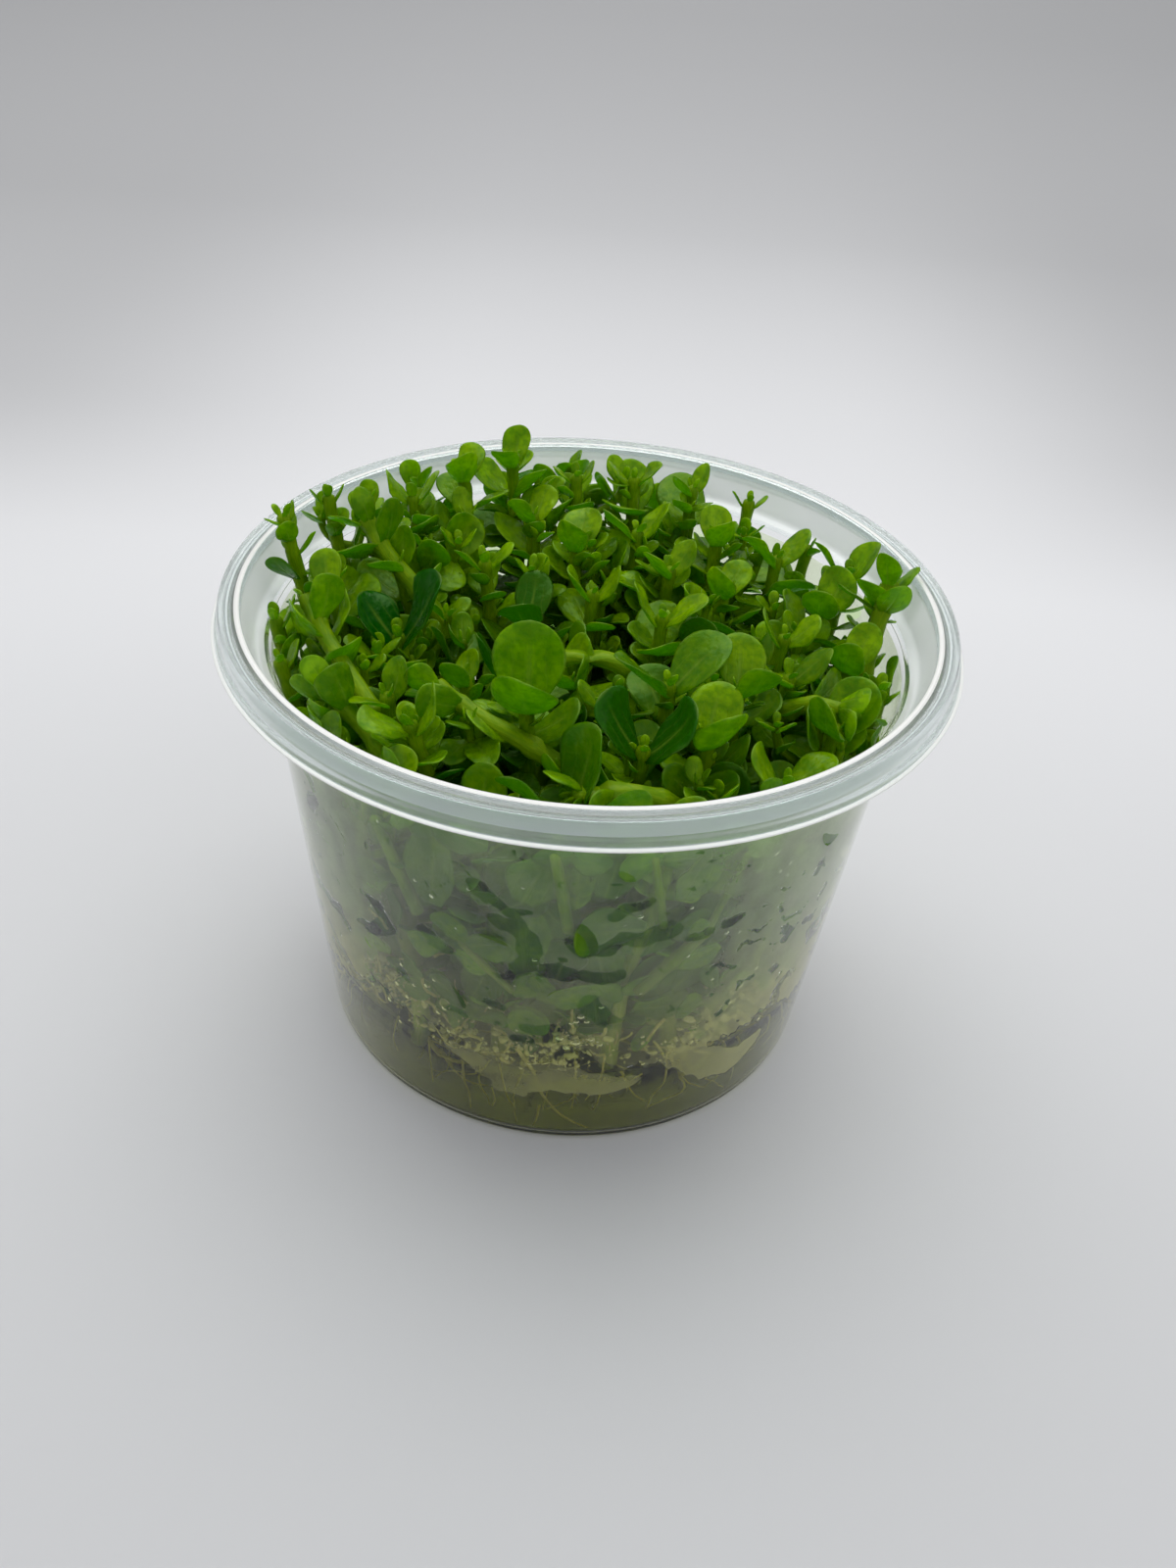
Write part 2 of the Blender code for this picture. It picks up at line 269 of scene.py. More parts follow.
cupSettings = dict(
    taper=0.1,  # radius gained for each mm of height
    wall=0.8,
    baseRadius=37.6,
    ledgeDrop=6.1,
    sides=500,
    rowHeight=0.62,  # of the fine rows that carry the mist
    mistFloor=1.6,
)
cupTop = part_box("cup")[1].z / mm
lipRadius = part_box("cup")[1].x / mm
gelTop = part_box("gel")[1].z / mm
ledge = cupTop - cupSettings["ledgeDrop"]


def outerWall(height):
    return cupSettings["baseRadius"] + cupSettings["taper"] * height


def innerWall(height):
    return outerWall(height) - cupSettings["wall"]


def roundedPath(corners, steps=2):
    # corners are (radius, height, how much of each side is rounded off)
    path = []
    for i, (r, z, cut) in enumerate(corners):
        here = Vector((r, z))
        if not cut:
            path.append(here)
            continue
        before = Vector(corners[i - 1][:2])
        after = Vector(corners[i + 1][:2])
        start = here + (before - here).normalized() * cut
        end = here + (after - here).normalized() * cut
        for k in range(steps + 1):
            t = k / steps
            path.append(start * (1 - t) ** 2 + here * (2 * t * (1 - t)) + end * t * t)
    return path


def turnPath(path, sides):
    # points and faces of a path turned about Z, closed at its two ends on the axis
    angles = 2 * math.pi * np.arange(sides) / sides
    circle = np.stack([np.cos(angles), np.sin(angles)], 1)
    rings = [np.column_stack([circle * p[0], np.full(sides, p[1])]) for p in path]
    points = np.vstack([[(0.0, 0.0, path[0][1])], *rings, [(0.0, 0.0, path[-1][1])]])
    side = np.arange(sides)
    after = (side + 1) % sides
    low = 1 + np.arange(len(path) - 1)[:, None] * sides
    quads = np.stack([low + side, low + after, low + sides + after, low + sides + side], -1)
    faces = [(0, 1 + int(b), 1 + int(a)) for a, b in zip(side, after)]
    faces += quads.reshape(-1, 4).tolist()
    last = 1 + (len(path) - 1) * sides
    faces += [(last + int(a), last + int(b), len(points) - 1) for a, b in zip(side, after)]
    return points, faces


def cupPath():
    w = cupSettings["wall"]
    base = cupSettings["baseRadius"]
    lip = cupTop - 3.6
    outside = [
        (2.2, 0.25, 0.0),
        (2.6, 0.0, 0.0),
        (base - 4.6, 0.0, 0.2),
        (base - 4.2, 0.18, 0.15),
        (base - 2.4, 0.18, 0.15),
        (base - 2.0, 0.0, 0.2),
        (base - 0.25, 0.0, 0.75),
        (outerWall(1.2), 1.2, 0.4),
        (outerWall(ledge - w - 0.2), ledge - w - 0.2, 0.5),
        (44.4, ledge - 0.35, 0.4),
        (46.0, ledge + 0.9, 0.5),
        (47.35, cupTop - 1.9, 0.6),
        (48.1, cupTop - 0.85, 0.35),
        (48.65, cupTop - 0.95, 0.3),
        (48.95, cupTop - 1.9, 0.3),
        (49.25, lip + 0.4, 0.2),
        (49.45, lip - 0.02, 0.15),
    ]
    rim = [
        (lipRadius - 0.1, lip - 0.08, 0.1),
        (lipRadius, lip + 0.06, 0.08),
        (lipRadius - 0.04, lip + 0.22, 0.08),
        (lipRadius - 0.46, lip + 0.32, 0.08),
        (lipRadius - 0.54, lip + 1.05, 0.15),
        (lipRadius - 0.92, lip + 1.5, 0.2),
        (lipRadius - 0.98, cupTop - 0.6, 0.2),
        (lipRadius - 1.3, cupTop, 0.25),
        (lipRadius - 1.95, cupTop - 0.4, 0.25),
        (47.75, cupTop - 0.42, 0.25),
        (47.1, cupTop, 0.25),
        (46.55, cupTop - 0.05, 0.2),
    ]
    inside = [
        (46.5, cupTop - 1.5, 0.3),
        (45.35, ledge + 1.9, 0.5),
        (44.9, ledge + 0.75, 0.45),
        (43.5, ledge + 0.2, 0.35),
        (innerWall(ledge) + 0.05, ledge - 0.3, 0.35),
    ]
    top = ledge - 1.0
    rows = int((top - cupSettings["mistFloor"]) / cupSettings["rowHeight"])
    heights = [top + (cupSettings["mistFloor"] - top) * i / rows for i in range(rows + 1)]
    floor = [
        (innerWall(1.4), 1.3, 0.0),
        (innerWall(0.9) - 0.1, 0.95, 0.0),
        (innerWall(0.8) - 0.45, w + 0.02, 0.0),
        (innerWall(0.8) - 0.9, w, 0.0),
        (2.0, w, 0.0),
    ]
    head = roundedPath(outside + rim + inside + [(innerWall(top), top, 0.0)])[:-1]
    wall = [Vector((innerWall(z), z)) for z in heights]
    tail = roundedPath(floor)
    slope = sum(3 if corner[2] else 1 for corner in outside + rim)
    return head + wall + tail, slope, len(head), len(head) + len(wall)


# Places on the wall are (mm along it from the front towards +X, height, half width)
wipeSettings = dict(
    marks=(
        ((-27.9, 39.5, 0.5), (-25.6, 38.4, 1.1), (-24.6, 35.6, 1.5), (-27.0, 33.2, 1.2), (-31.0, 32.2, 0.3)),
        ((-11.6, 50.8, 1.0), (-9.4, 48.9, 1.2), (-7.0, 47.2, 0.9), (-4.4, 47.4, 0.4)),
        ((-8.6, 45.0, 1.1), (-6.0, 44.6, 1.5), (-4.2, 42.0, 1.6), (-4.4, 38.4, 1.5), (-6.2, 35.4, 1.0), (-8.0, 34.6, 0.4)),
        ((-18.6, 39.0, 0.9), (-16.8, 37.6, 1.3), (-14.6, 36.6, 0.8)),
        ((-1.8, 37.0, 1.4), (0.4, 36.9, 1.5)),
        ((2.6, 36.4, 1.1), (5.4, 36.2, 1.2)),
        ((6.6, 35.8, 0.8), (7.4, 37.0, 0.7)),
        ((-9.6, 28.6, 0.7), (-7.8, 28.4, 0.7)),
        ((3.7, 31.0, 1.6), (4.4, 29.4, 1.7), (6.0, 27.6, 1.0), (8.6, 26.8, 0.2)),
        ((-4.6, 24.6, 0.8), (-1.6, 25.0, 1.1), (-0.6, 25.2, 0.9)),
        ((0.7, 43.2, 0.9), (2.8, 41.2, 1.2), (5.0, 41.6, 1.2), (7.2, 43.6, 1.2), (9.6, 43.4, 1.4), (13.0, 44.6, 1.7)),
        ((5.6, 47.8, 0.9), (7.6, 49.2, 1.0), (10.0, 50.2, 0.6)),
        ((35.9, 44.8, 0.7), (36.6, 46.4, 0.8)),
        ((42.6, 40.4, 0.4), (46.0, 38.6, 0.5)),
        ((39.3, 38.4, 0.6), (39.8, 39.8, 0.6)),
        ((29.7, 42.8, 0.35), (29.9, 41.2, 0.45)),
        ((36.9, 40.0, 0.15), (35.0, 38.4, 0.3), (32.0, 38.2, 0.35), (30.1, 40.0, 0.15)),
        ((33.6, 34.4, 0.35), (34.5, 35.6, 0.35)),
        ((31.0, 37.2, 0.35), (31.2, 36.2, 0.25)),
        ((24.6, 40.0, 0.3), (26.4, 39.4, 0.4), (28.4, 40.4, 0.2)),
        ((23.3, 36.4, 0.15), (24.5, 38.0, 0.35), (27.6, 36.8, 0.2)),
        ((19.5, 34.0, 0.35), (20.7, 35.6, 0.45), (23.7, 33.2, 0.35)),
        ((24.4, 27.2, 0.2), (25.1, 29.6, 0.35), (27.9, 29.2, 0.2)),
        ((32.4, 23.6, 0.15), (33.9, 25.6, 0.3)),
        ((22.6, 24.0, 0.7), (23.5, 26.0, 0.5)),
        ((21.7, 17.6, 0.45), (25.8, 14.4, 0.35)),
        ((49.4, 26.0, 0.2), (44.0, 30.0, 0.4), (39.5, 31.6, 0.2)),
        ((53.3, 24.4, 0.2), (50.0, 31.2, 0.4)),
        ((16.2, 42.2, 0.9), (18.2, 42.6, 0.9)),
        ((20.8, 43.4, 1.0), (22.6, 43.8, 0.8)),
        ((-23.0, 27.8, 0.5), (-21.4, 26.4, 0.5)),
        ((-13.0, 24.4, 0.6), (-15.6, 25.2, 0.9)),
        ((-5.6, 22.0, 0.7), (-0.1, 23.2, 0.7), (-1.8, 25.2, 0.8)),
        ((-16.4, 19.2, 0.9), (-13.3, 18.0, 0.8)),
        ((-35.0, 30.2, 0.7), (-33.4, 28.6, 0.9)),
        ((-40.4, 24.0, 0.4), (-36.4, 20.4, 1.2), (-31.6, 17.6, 0.6)),
    ),
    rings=(((-35.0, 46.4), 3.4, 0.16), ((-14.6, 49.6), 3.9, 0.14)),
    strewn=420,
    seed=11,
    # the clear and the misted parts of the wall in front of the gel
    gelPatches=(
        ((-13.0, 17.5, 3.0), (-6.0, 13.5, 3.4), (0.0, 14.5, 3.2), (7.0, 12.6, 2.2), (10.5, 13.2, 1.2)),
        ((19.0, 17.0, 3.6), (23.0, 12.0, 3.2), (27.0, 10.0, 2.6), (31.0, 12.0, 1.6)),
        ((-4.5, 9.8, 0.7), (-7.5, 10.8, 1.4)),
        ((-62.0, 15.0, 4.0), (-52.0, 12.5, 3.0), (-47.0, 13.0, 1.6)),
        ((52.0, 16.0, 3.5), (62.0, 12.0, 3.0), (70.0, 13.0, 2.0)),
        ((88.0, 15.0, 3.5), (97.0, 12.0, 3.0), (108.0, 14.0, 2.5)),
        ((-88.0, 15.0, 3.0), (-98.0, 13.0, 2.4), (-106.0, 15.0, 2.0)),
    ),
    gelEdge=16.2,
    # how milky the mist is in the middle of the front, and how much paler the wall is made to the left, the right and
    # behind
    mist=0.16,
    mistLow=0.12,  # added in the patches by the gel
    mistLeft=0.23,
    mistRight=0.28,
    # where the clear edge rises over heaps of crumbs: (arc, half width, how far it rises)
    clearings=((-28.0, 8.0, 4.5), (-15.0, 5.0, 2.0), (1.0, 5.5, 3.6), (29.0, 5.0, 1.5), (70, 12, 5), (-72, 12, 5)),
)


def strokeDistance(spots, stroke):
    # mm outside a stroke that is a chain of circles, negative inside it
    least = np.full(len(spots), 1e9)
    for a, b in zip(stroke, stroke[1:]):
        start, along = np.array(a[:2]), np.array(b[:2]) - np.array(a[:2])
        share = np.clip((spots - start) @ along / max(along @ along, 1e-9), 0.0, 1.0)
        off = spots - start - share[:, None] * along
        width = a[2] + (b[2] - a[2]) * share
        least = np.minimum(least, np.hypot(off[:, 0], off[:, 1]) - width)
    return least


def strewnStrokes(s):
    # more wiped marks, drops and commas all the way round, thicker low down
    draw = random.Random(s["seed"])
    for _ in range(s["strewn"]):
        arc = draw.uniform(-126.0, 126.0)
        z = 18.0 + 40.0 * draw.random() ** 1.5
        front = abs(arc + 2.0) < 34.0
        size = draw.choice((0.16, 0.2, 0.25, 0.3)) if front else draw.choice((0.2, 0.3, 0.5, 0.9, 1.4))
        turn = draw.uniform(0.0, 2.0 * math.pi)
        bend = draw.uniform(-1.2, 1.2)
        stroke = [(arc, z, size)]
        for _ in range(draw.choice((1, 1, 2, 3, 4))):
            step = size * draw.uniform(0.9, 1.8)
            arc += step * math.cos(turn)
            z += step * math.sin(turn)
            turn += bend
            stroke.append((arc, z, size * draw.uniform(0.6, 1.0)))
        yield stroke


def wetness(arc, z):
    # mm inside the wiped, clear parts of the mist: above 0 is clear
    s = wipeSettings
    wobbleX = 0.22 * np.sin(1.7 * z + 1.3 * np.sin(0.8 * arc)) + 0.1 * np.sin(4.1 * z + arc)
    wobbleZ = 0.22 * np.sin(1.5 * arc + 1.1 * np.sin(0.9 * z)) + 0.1 * np.sin(3.7 * arc - z)
    spots = np.stack([arc + wobbleX, z + wobbleZ], 1)
    least = np.full(len(spots), 1e9)
    strokes = list(s["marks"]) + list(strewnStrokes(s))
    for stroke in strokes:
        middle = np.mean([p[:2] for p in stroke], 0)
        reach = 4.0 + max(math.dist(p[:2], middle) + p[2] for p in stroke)
        near = np.abs(spots - middle).max(1) < reach
        if near.any():
            least[near] = np.minimum(least[near], strokeDistance(spots[near], stroke))
    for middle, radius, width in s["rings"]:
        off = np.hypot(spots[:, 0] - middle[0], spots[:, 1] - middle[1])
        least = np.minimum(least, np.abs(off - radius) - width)
    # down at the gel the wall is clear, apart from patches where the gel has drawn away
    edge = s["gelEdge"] + 1.2 * np.sin(0.23 * arc + 0.7) + 0.9 * np.sin(0.61 * arc) + 0.5 * np.sin(1.9 * arc)
    edge += 0.35 * np.sin(4.3 * arc + 1.7 * z)
    for middle, half, rise in s["clearings"]:
        edge += rise * np.exp(-((arc - middle) / half) ** 2)
    low = z - edge
    for patch in s["gelPatches"]:
        low = np.maximum(low, -strokeDistance(spots, patch))
    return -np.minimum(least, low)


def mistiness(arc, z):
    s = wipeSettings
    left = np.clip((-arc - 22.0) / 14.0, 0.0, 1.0) * s["mistLeft"]
    right = np.clip((arc - 14.0) / 18.0, 0.0, 1.0) * s["mistRight"]
    behind = np.clip((np.abs(arc) - 48.0) / 25.0, 0.0, 1.0)
    cloud = np.sin(0.21 * arc + 0.8) * np.sin(0.19 * z + 0.4) + 0.5 * np.sin(0.47 * arc - 0.33 * z)
    low = np.clip((18.0 - z) / 4.0, 0.0, 1.0) * s["mistLow"]
    return np.clip(s["mist"] + (left + right) * (1.0 - 0.85 * behind) + low + 0.035 * cloud, 0.05, 0.6)


def clearPlasticLook():
    look, tree, out = newLook("clearPlastic")
    where = place(tree)
    scuff = speckle(tree, where, 0.8, 3.0)
    shader = put(tree, "BsdfPrincipled", {
        "Base Color": (0.975, 0.988, 0.985, 1.0),
        "Roughness": remap(tree, scuff, 0.35, 0.75, 0.02, 0.06),
        "IOR": 1.49,
        "Transmission Weight": 0.99,
        "Specular Tint": (0.18, 0.18, 0.18, 1.0),
    })
    through = letLampsThrough(tree, shader.outputs[0], (0.95, 0.96, 0.96, 1.0))
    tree.links.new(through, out.inputs["Surface"])
    return look


def cloudyAndPaintedLightLook(name, colour, rough, see, lumps):
    # plastic that is a little cloudy, for the rolled rim and its slope; made near-white it paints the highlights along
    # the lip and bead, and made pale olive it paints the light along the foot
    look, tree, out = newLook(name)
    scuff = speckle(tree, place(tree), lumps, 2.0)
    shader = put(tree, "BsdfPrincipled", {
        "Base Color": (*colour, 1.0),
        "Roughness": remap(tree, scuff, 0.35, 0.75, *rough),
        "IOR": 1.49,
        "Transmission Weight": see,
    })
    through = letLampsThrough(tree, shader.outputs[0], (0.90, 0.93, 0.93, 1.0))
    tree.links.new(through, out.inputs["Surface"])
    return look


def mistLook(name, gloss):
    # gloss dims the shine where gel or water lies on the plastic
    look, tree, out = newLook(name)
    where = place(tree)
    clear = remap(tree, readField(tree, "wet"), -0.06, 0.06)
    cloud = speckle(tree, where, 5.0, 3.0)
    fog = remap(tree, cloud, 0.3, 0.7, 0.05, 0.11)
    edge = remap(tree, readField(tree, "wet"), -0.25, 0.35)
    bump = put(tree, "Bump", {"Strength": 0.5, "Distance": 0.0001, "Height": edge})
    beads = calc(tree, "MULTIPLY", speckle(tree, where, 0.35, 2.0), 0.10)
    beads = calc(tree, "ADD", beads, remap(tree, cloud, 0.35, 0.65, -0.09, -0.01))
    milky = calc(tree, "ADD", readField(tree, "mist"), beads)
    see = calc(tree, "SUBTRACT", 1.0, calc(tree, "MULTIPLY", milky, calc(tree, "SUBTRACT", 1.0, clear)))
    height = put(tree, "SeparateXYZ", {0: where}).outputs["Z"]
    low = (1.0, 1.0, 0.42, 1.0)
    fogTint = blendColour(tree, remap(tree, height, 0.014, 0.045), low, (0.88, 0.99, 0.66, 1.0))
    # painted shade: above the gel the clear wiped marks are tinted darker and greener, for the shade on the leaves seen
    # through them; lower down they take the olive tint
    wetTintAndPaintedShade = blendColour(tree, remap(tree, height, 0.016, 0.026), low, (0.50, 0.74, 0.26, 1.0))
    tint = blendColour(tree, clear, fogTint, wetTintAndPaintedShade)
    shader = put(tree, "BsdfPrincipled", {
        "Base Color": tint,
        "Roughness": put(tree, "Mix", {0: clear, 2: fog, 3: 0.02}).outputs[0],
        "IOR": 1.49,
        "Transmission Weight": see,
        "Specular Tint": (gloss, gloss, gloss, 1.0),
        "Normal": bump.outputs[0],
    })
    through = letLampsThrough(tree, shader.outputs[0], (0.93, 0.95, 0.90, 1.0))
    tree.links.new(through, out.inputs["Surface"])
    return look


def addCup():
    path, slope, first, last = cupPath()
    sides = cupSettings["sides"]
    points, faces = turnPath(path, sides)
    ringOf = np.clip((np.arange(len(points)) - 1) // sides, 0, len(path) - 1)
    onWall = (ringOf >= first) & (ringOf < last)
    wet = np.full(len(points), 1.0)
    front = np.arctan2(points[onWall, 0], -points[onWall, 1])
    arc = front * np.hypot(points[onWall, 0], points[onWall, 1])
    wet[onWall] = wetness(arc, points[onWall, 2])
    mist = np.zeros(len(points))
    mist[onWall] = mistiness(arc, points[onWall, 2])
    lowRing = np.array([(min(face) - 1) // sides for face in faces])
    misted = (lowRing >= first) & (lowRing < last - 1) & (np.array([len(f) for f in faces]) == 4)
    middles = np.array([points[list(face)].mean(0) for face in faces])
    reach = np.hypot(middles[:, 0], middles[:, 1])
    rolled = (middles[:, 2] > ledge - 0.6) & (reach > innerWall(ledge) + 0.9)
    # painted highlights: the lower edge of the lip and the top of the inner bead get a near-white, barely clear finish
    # for the bright lines of light along them
    paintedHighlightFaces = (reach > lipRadius - 0.44) & (middles[:, 2] > cupTop - 3.6)
    paintedHighlightFaces |= (np.abs(reach - 46.95) < 0.35) & (middles[:, 2] > cupTop - 0.2)
    # painted light: the outer edge of the foot gets a pale olive, half cloudy finish for the line of light along that
    # corner
    foot = (middles[:, 2] < 1.0) & (reach > cupSettings["baseRadius"] - 0.7)
    looks = [
        clearPlasticLook(),
        mistLook("mistedPlastic", 0.2),
        mistLook("gelledPlastic", 0.05),
        cloudyAndPaintedLightLook("cloudyRim", (0.91, 0.975, 0.962), (0.17, 0.21), 0.90, 4.0),
        cloudyAndPaintedLightLook("paleSlope", (0.98, 0.99, 0.985), (0.20, 0.25), 0.48, 4.0),
        cloudyAndPaintedLightLook("paintedHighlightLine", (0.99, 0.985, 0.95), (0.18, 0.26), 0.12, 0.6),
        cloudyAndPaintedLightLook("paintedLightFootEdge", (0.74, 0.74, 0.50), (0.15, 0.25), 0.55, 2.0),
    ]
    lookOfFace = np.where(misted, np.where(middles[:, 2] < gelTop, 2, 1), 0)
    lookOfFace[rolled & ~misted] = 3
    lookOfFace[rolled & ~misted & (lowRing >= slope)] = 4
    lookOfFace[paintedHighlightFaces] = 5
    lookOfFace[foot] = 6
    fields = {"wet": wet, "mist": mist}
    cup = makeMesh("fineCup", points, faces, looks, lookOfFace, fields=fields, sharp=50)
    standFor(cup, "clear_plastic", "cup")


addCup()
print("the cup is turned and misted")


# The gel: a soft uneven disc with roots, crumbs and drops about it

gelSettings = dict(
    gap=0.06,  # to the cup
    edgeRise=0.9,
    waves=0.7,
    sides=200,
    rings=26,
    absorb=(28.0, 26.0, 210.0),  # for each metre of red, green and blue
)


def gelLook():
    look, tree, out = newLook("paleGel")
    where = place(tree)
    lumps = speckle(tree, where, 2.2, 3.0)
    bump = put(tree, "Bump", {"Strength": 0.15, "Distance": 0.0004, "Height": lumps})
    shader = put(tree, "BsdfPrincipled", {
        "Base Color": (0.95, 0.96, 0.72, 1.0),
        "Roughness": remap(tree, lumps, 0.3, 0.7, 0.03, 0.10),
        "IOR": 1.34,
        "Transmission Weight": 1.0,
        "Specular Tint": (0.1, 0.1, 0.1, 1.0),
        "Normal": bump.outputs[0],
    })
    through = letLampsThrough(tree, shader.outputs[0], (0.9, 0.9, 0.8, 1.0))
    tree.links.new(through, out.inputs["Surface"])
    most = max(gelSettings["absorb"])
    colour = [1.0 - a / (most * 1.02) for a in gelSettings["absorb"]]
    volume = put(tree, "VolumeAbsorption", {"Color": (*colour, 1.0), "Density": most * 1.02})
    tree.links.new(volume.outputs[0], out.inputs["Volume"])
    return look


def gelSurface(x, y):
    s = gelSettings
    r = np.hypot(x, y)
    waves = np.sin(0.31 * x + 0.9) * np.cos(0.27 * y) + 0.6 * np.sin(0.7 * y + 0.4 * x)
    waves += 0.35 * np.sin(1.3 * x - 0.9 * y)
    creep = s["edgeRise"] * np.exp((r - innerWall(gelTop)) / 1.6)
    return gelTop - 0.4 + s["waves"] * 0.45 * waves + creep


def addGel():
    s = gelSettings
    floorZ = cupSettings["wall"] + s["gap"]
    path = [Vector((2.0, floorZ)), Vector((innerWall(1) - 1.0, floorZ)), Vector((innerWall(1.3) - 0.2, 1.5))]
    path += [Vector((innerWall(z) - s["gap"], z)) for z in (2.5, 5.0, 8.0, 11.0)]
    edge = innerWall(gelTop) - s["gap"]
    path += [Vector((edge * (1.0 - (i / s["rings"]) ** 1.3), gelTop)) for i in range(s["rings"])]
    points, faces = turnPath(path, s["sides"])
    top = points[:, 2] >= gelTop - 0.01
    points[top, 2] = gelSurface(points[top, 0], points[top, 1])
    gel = makeMesh("fineGel", points, faces, [gelLook()])
    standFor(gel, "pale_gel", "gel")


def onWall(arc, z, off):
    # a place off mm inside the wall, arc mm along it from the front towards +X
    turn = arc / innerWall(z)
    radius = innerWall(z) - off
    return Vector((radius * math.sin(turn), -radius * math.cos(turn), z))


def wallAxes(arc, z):
    # along the wall, up it, and inwards from it
    turn = arc / innerWall(z)
    along = Vector((math.cos(turn), math.sin(turn), 0.0))
    up = Vector((math.sin(turn) * 0.1, -math.cos(turn) * 0.1, 1.0)).normalized()
    return along, up, up.cross(along)


rootSettings = dict(
    # roots that show at the front: places (arc, height) from the top down, and the radius
    front=(
        (((-5.6, 19.0), (-3.4, 15.0), (-1.6, 9.5), (1.2, 5.0), (5.0, 1.9)), 0.34),
        (((-18.9, 15.0), (-18.6, 10.5), (-18.3, 5.0)), 0.20),
        (((-13.4, 14.5), (-13.1, 9.0), (-12.3, 6.0), (-12.1, 2.6)), 0.24),
        (((2.6, 17.5), (2.9, 12.0), (2.6, 6.8)), 0.20),
        (((6.6, 18.5), (6.3, 13.5), (5.2, 10.5), (4.4, 8.8)), 0.16),
        (((15.6, 17.5), (15.8, 11.0), (14.2, 8.0), (13.6, 5.0)), 0.20),
        (((-2.0, 7.0), (-2.2, 4.2), (-2.7, 1.7)), 0.22),
        (((-8.9, 9.0), (-8.4, 6.4), (-8.8, 4.6)), 0.15),
        (((12.2, 13.5), (10.6, 12.2), (10.2, 10.0)), 0.14),
        (((-24.5, 15.5), (-25.5, 10.0), (-24.8, 7.5)), 0.17),
    ),
    each=4,  # more roots under each sprig
    tangle=130,  # short bits of root and stalk among the crumbs
    radius=(0.12, 0.24),
    steps=14,
    sides=6,
    seed=31,
)


def tubeMesh(spots, radii, sides):
    # a closed tube along a gently bent chain of places
    last = len(spots) - 1
    ways = [(spots[min(i + 1, last)] - spots[max(i - 1, 0)]).normalized() for i in range(last + 1)]
    hint = Vector((1.0, 0.2, 0.1)) if abs(ways[0].x) < 0.7 else Vector((0.1, 1.0, 0.2))
    points = []
    for spot, way, radius in zip(spots, ways, radii):
        side = way.cross(hint).normalized()
        other = way.cross(side)
        for i in range(sides):
            a = 2 * math.pi * i / sides
            points.append(spot + (side * math.cos(a) + other * math.sin(a)) * radius)
    faces = [tuple(reversed(range(sides)))]
    for k in range(last):
        for i in range(sides):
            j = (i + 1) % sides
            faces.append((k * sides + i, k * sides + j, (k + 1) * sides + j, (k + 1) * sides + i))
    faces.append(tuple(last * sides + i for i in range(sides)))
    return [tuple(p) for p in points], faces


def smoothChain(places, steps):
    # a smooth run through a few places
    chain = []
    for i in range(steps + 1):
        at = (len(places) - 1) * i / steps
        k = min(int(at), len(places) - 2)
        t = at - k
        a, b, c, d = (Vector(places[min(max(j, 0), len(places) - 1)]) for j in (k - 1, k, k + 1, k + 2))
        chain.append(0.5 * ((2 * b) + (c - a) * t + (2 * a - 5 * b + 4 * c - d) * t * t + (3 * b - a - 3 * c + d) * t**3))
    return chain


def joinShapes(name, shapes, look, slot):
    points, faces = [], []
    for more, rings in shapes:
        faces += [tuple(i + len(points) for i in face) for face in rings]
        points += more
    piece = makeMesh(name, points, faces, [look])
    standFor(piece, slot)
    return piece


def paleRootLook():
    look, tree, out = newLook("paleRoot")
    cloud = speckle(tree, place(tree), 1.5, 2.0)
    base = blendColour(tree, remap(tree, cloud, 0.3, 0.7), (0.62, 0.60, 0.22, 1.0), (0.85, 0.80, 0.42, 1.0))
    shader = put(tree, "BsdfPrincipled", {"Base Color": base, "Roughness": 0.45})
    behind = put(tree, "BsdfTranslucent", {"Color": base}).outputs[0]
    mixed = put(tree, "MixShader", {0: 0.4, 1: shader.outputs[0], 2: behind}).outputs[0]
    tree.links.new(letLampsThrough(tree, mixed, (0.5, 0.5, 0.3, 1.0)), out.inputs["Surface"])
    return look


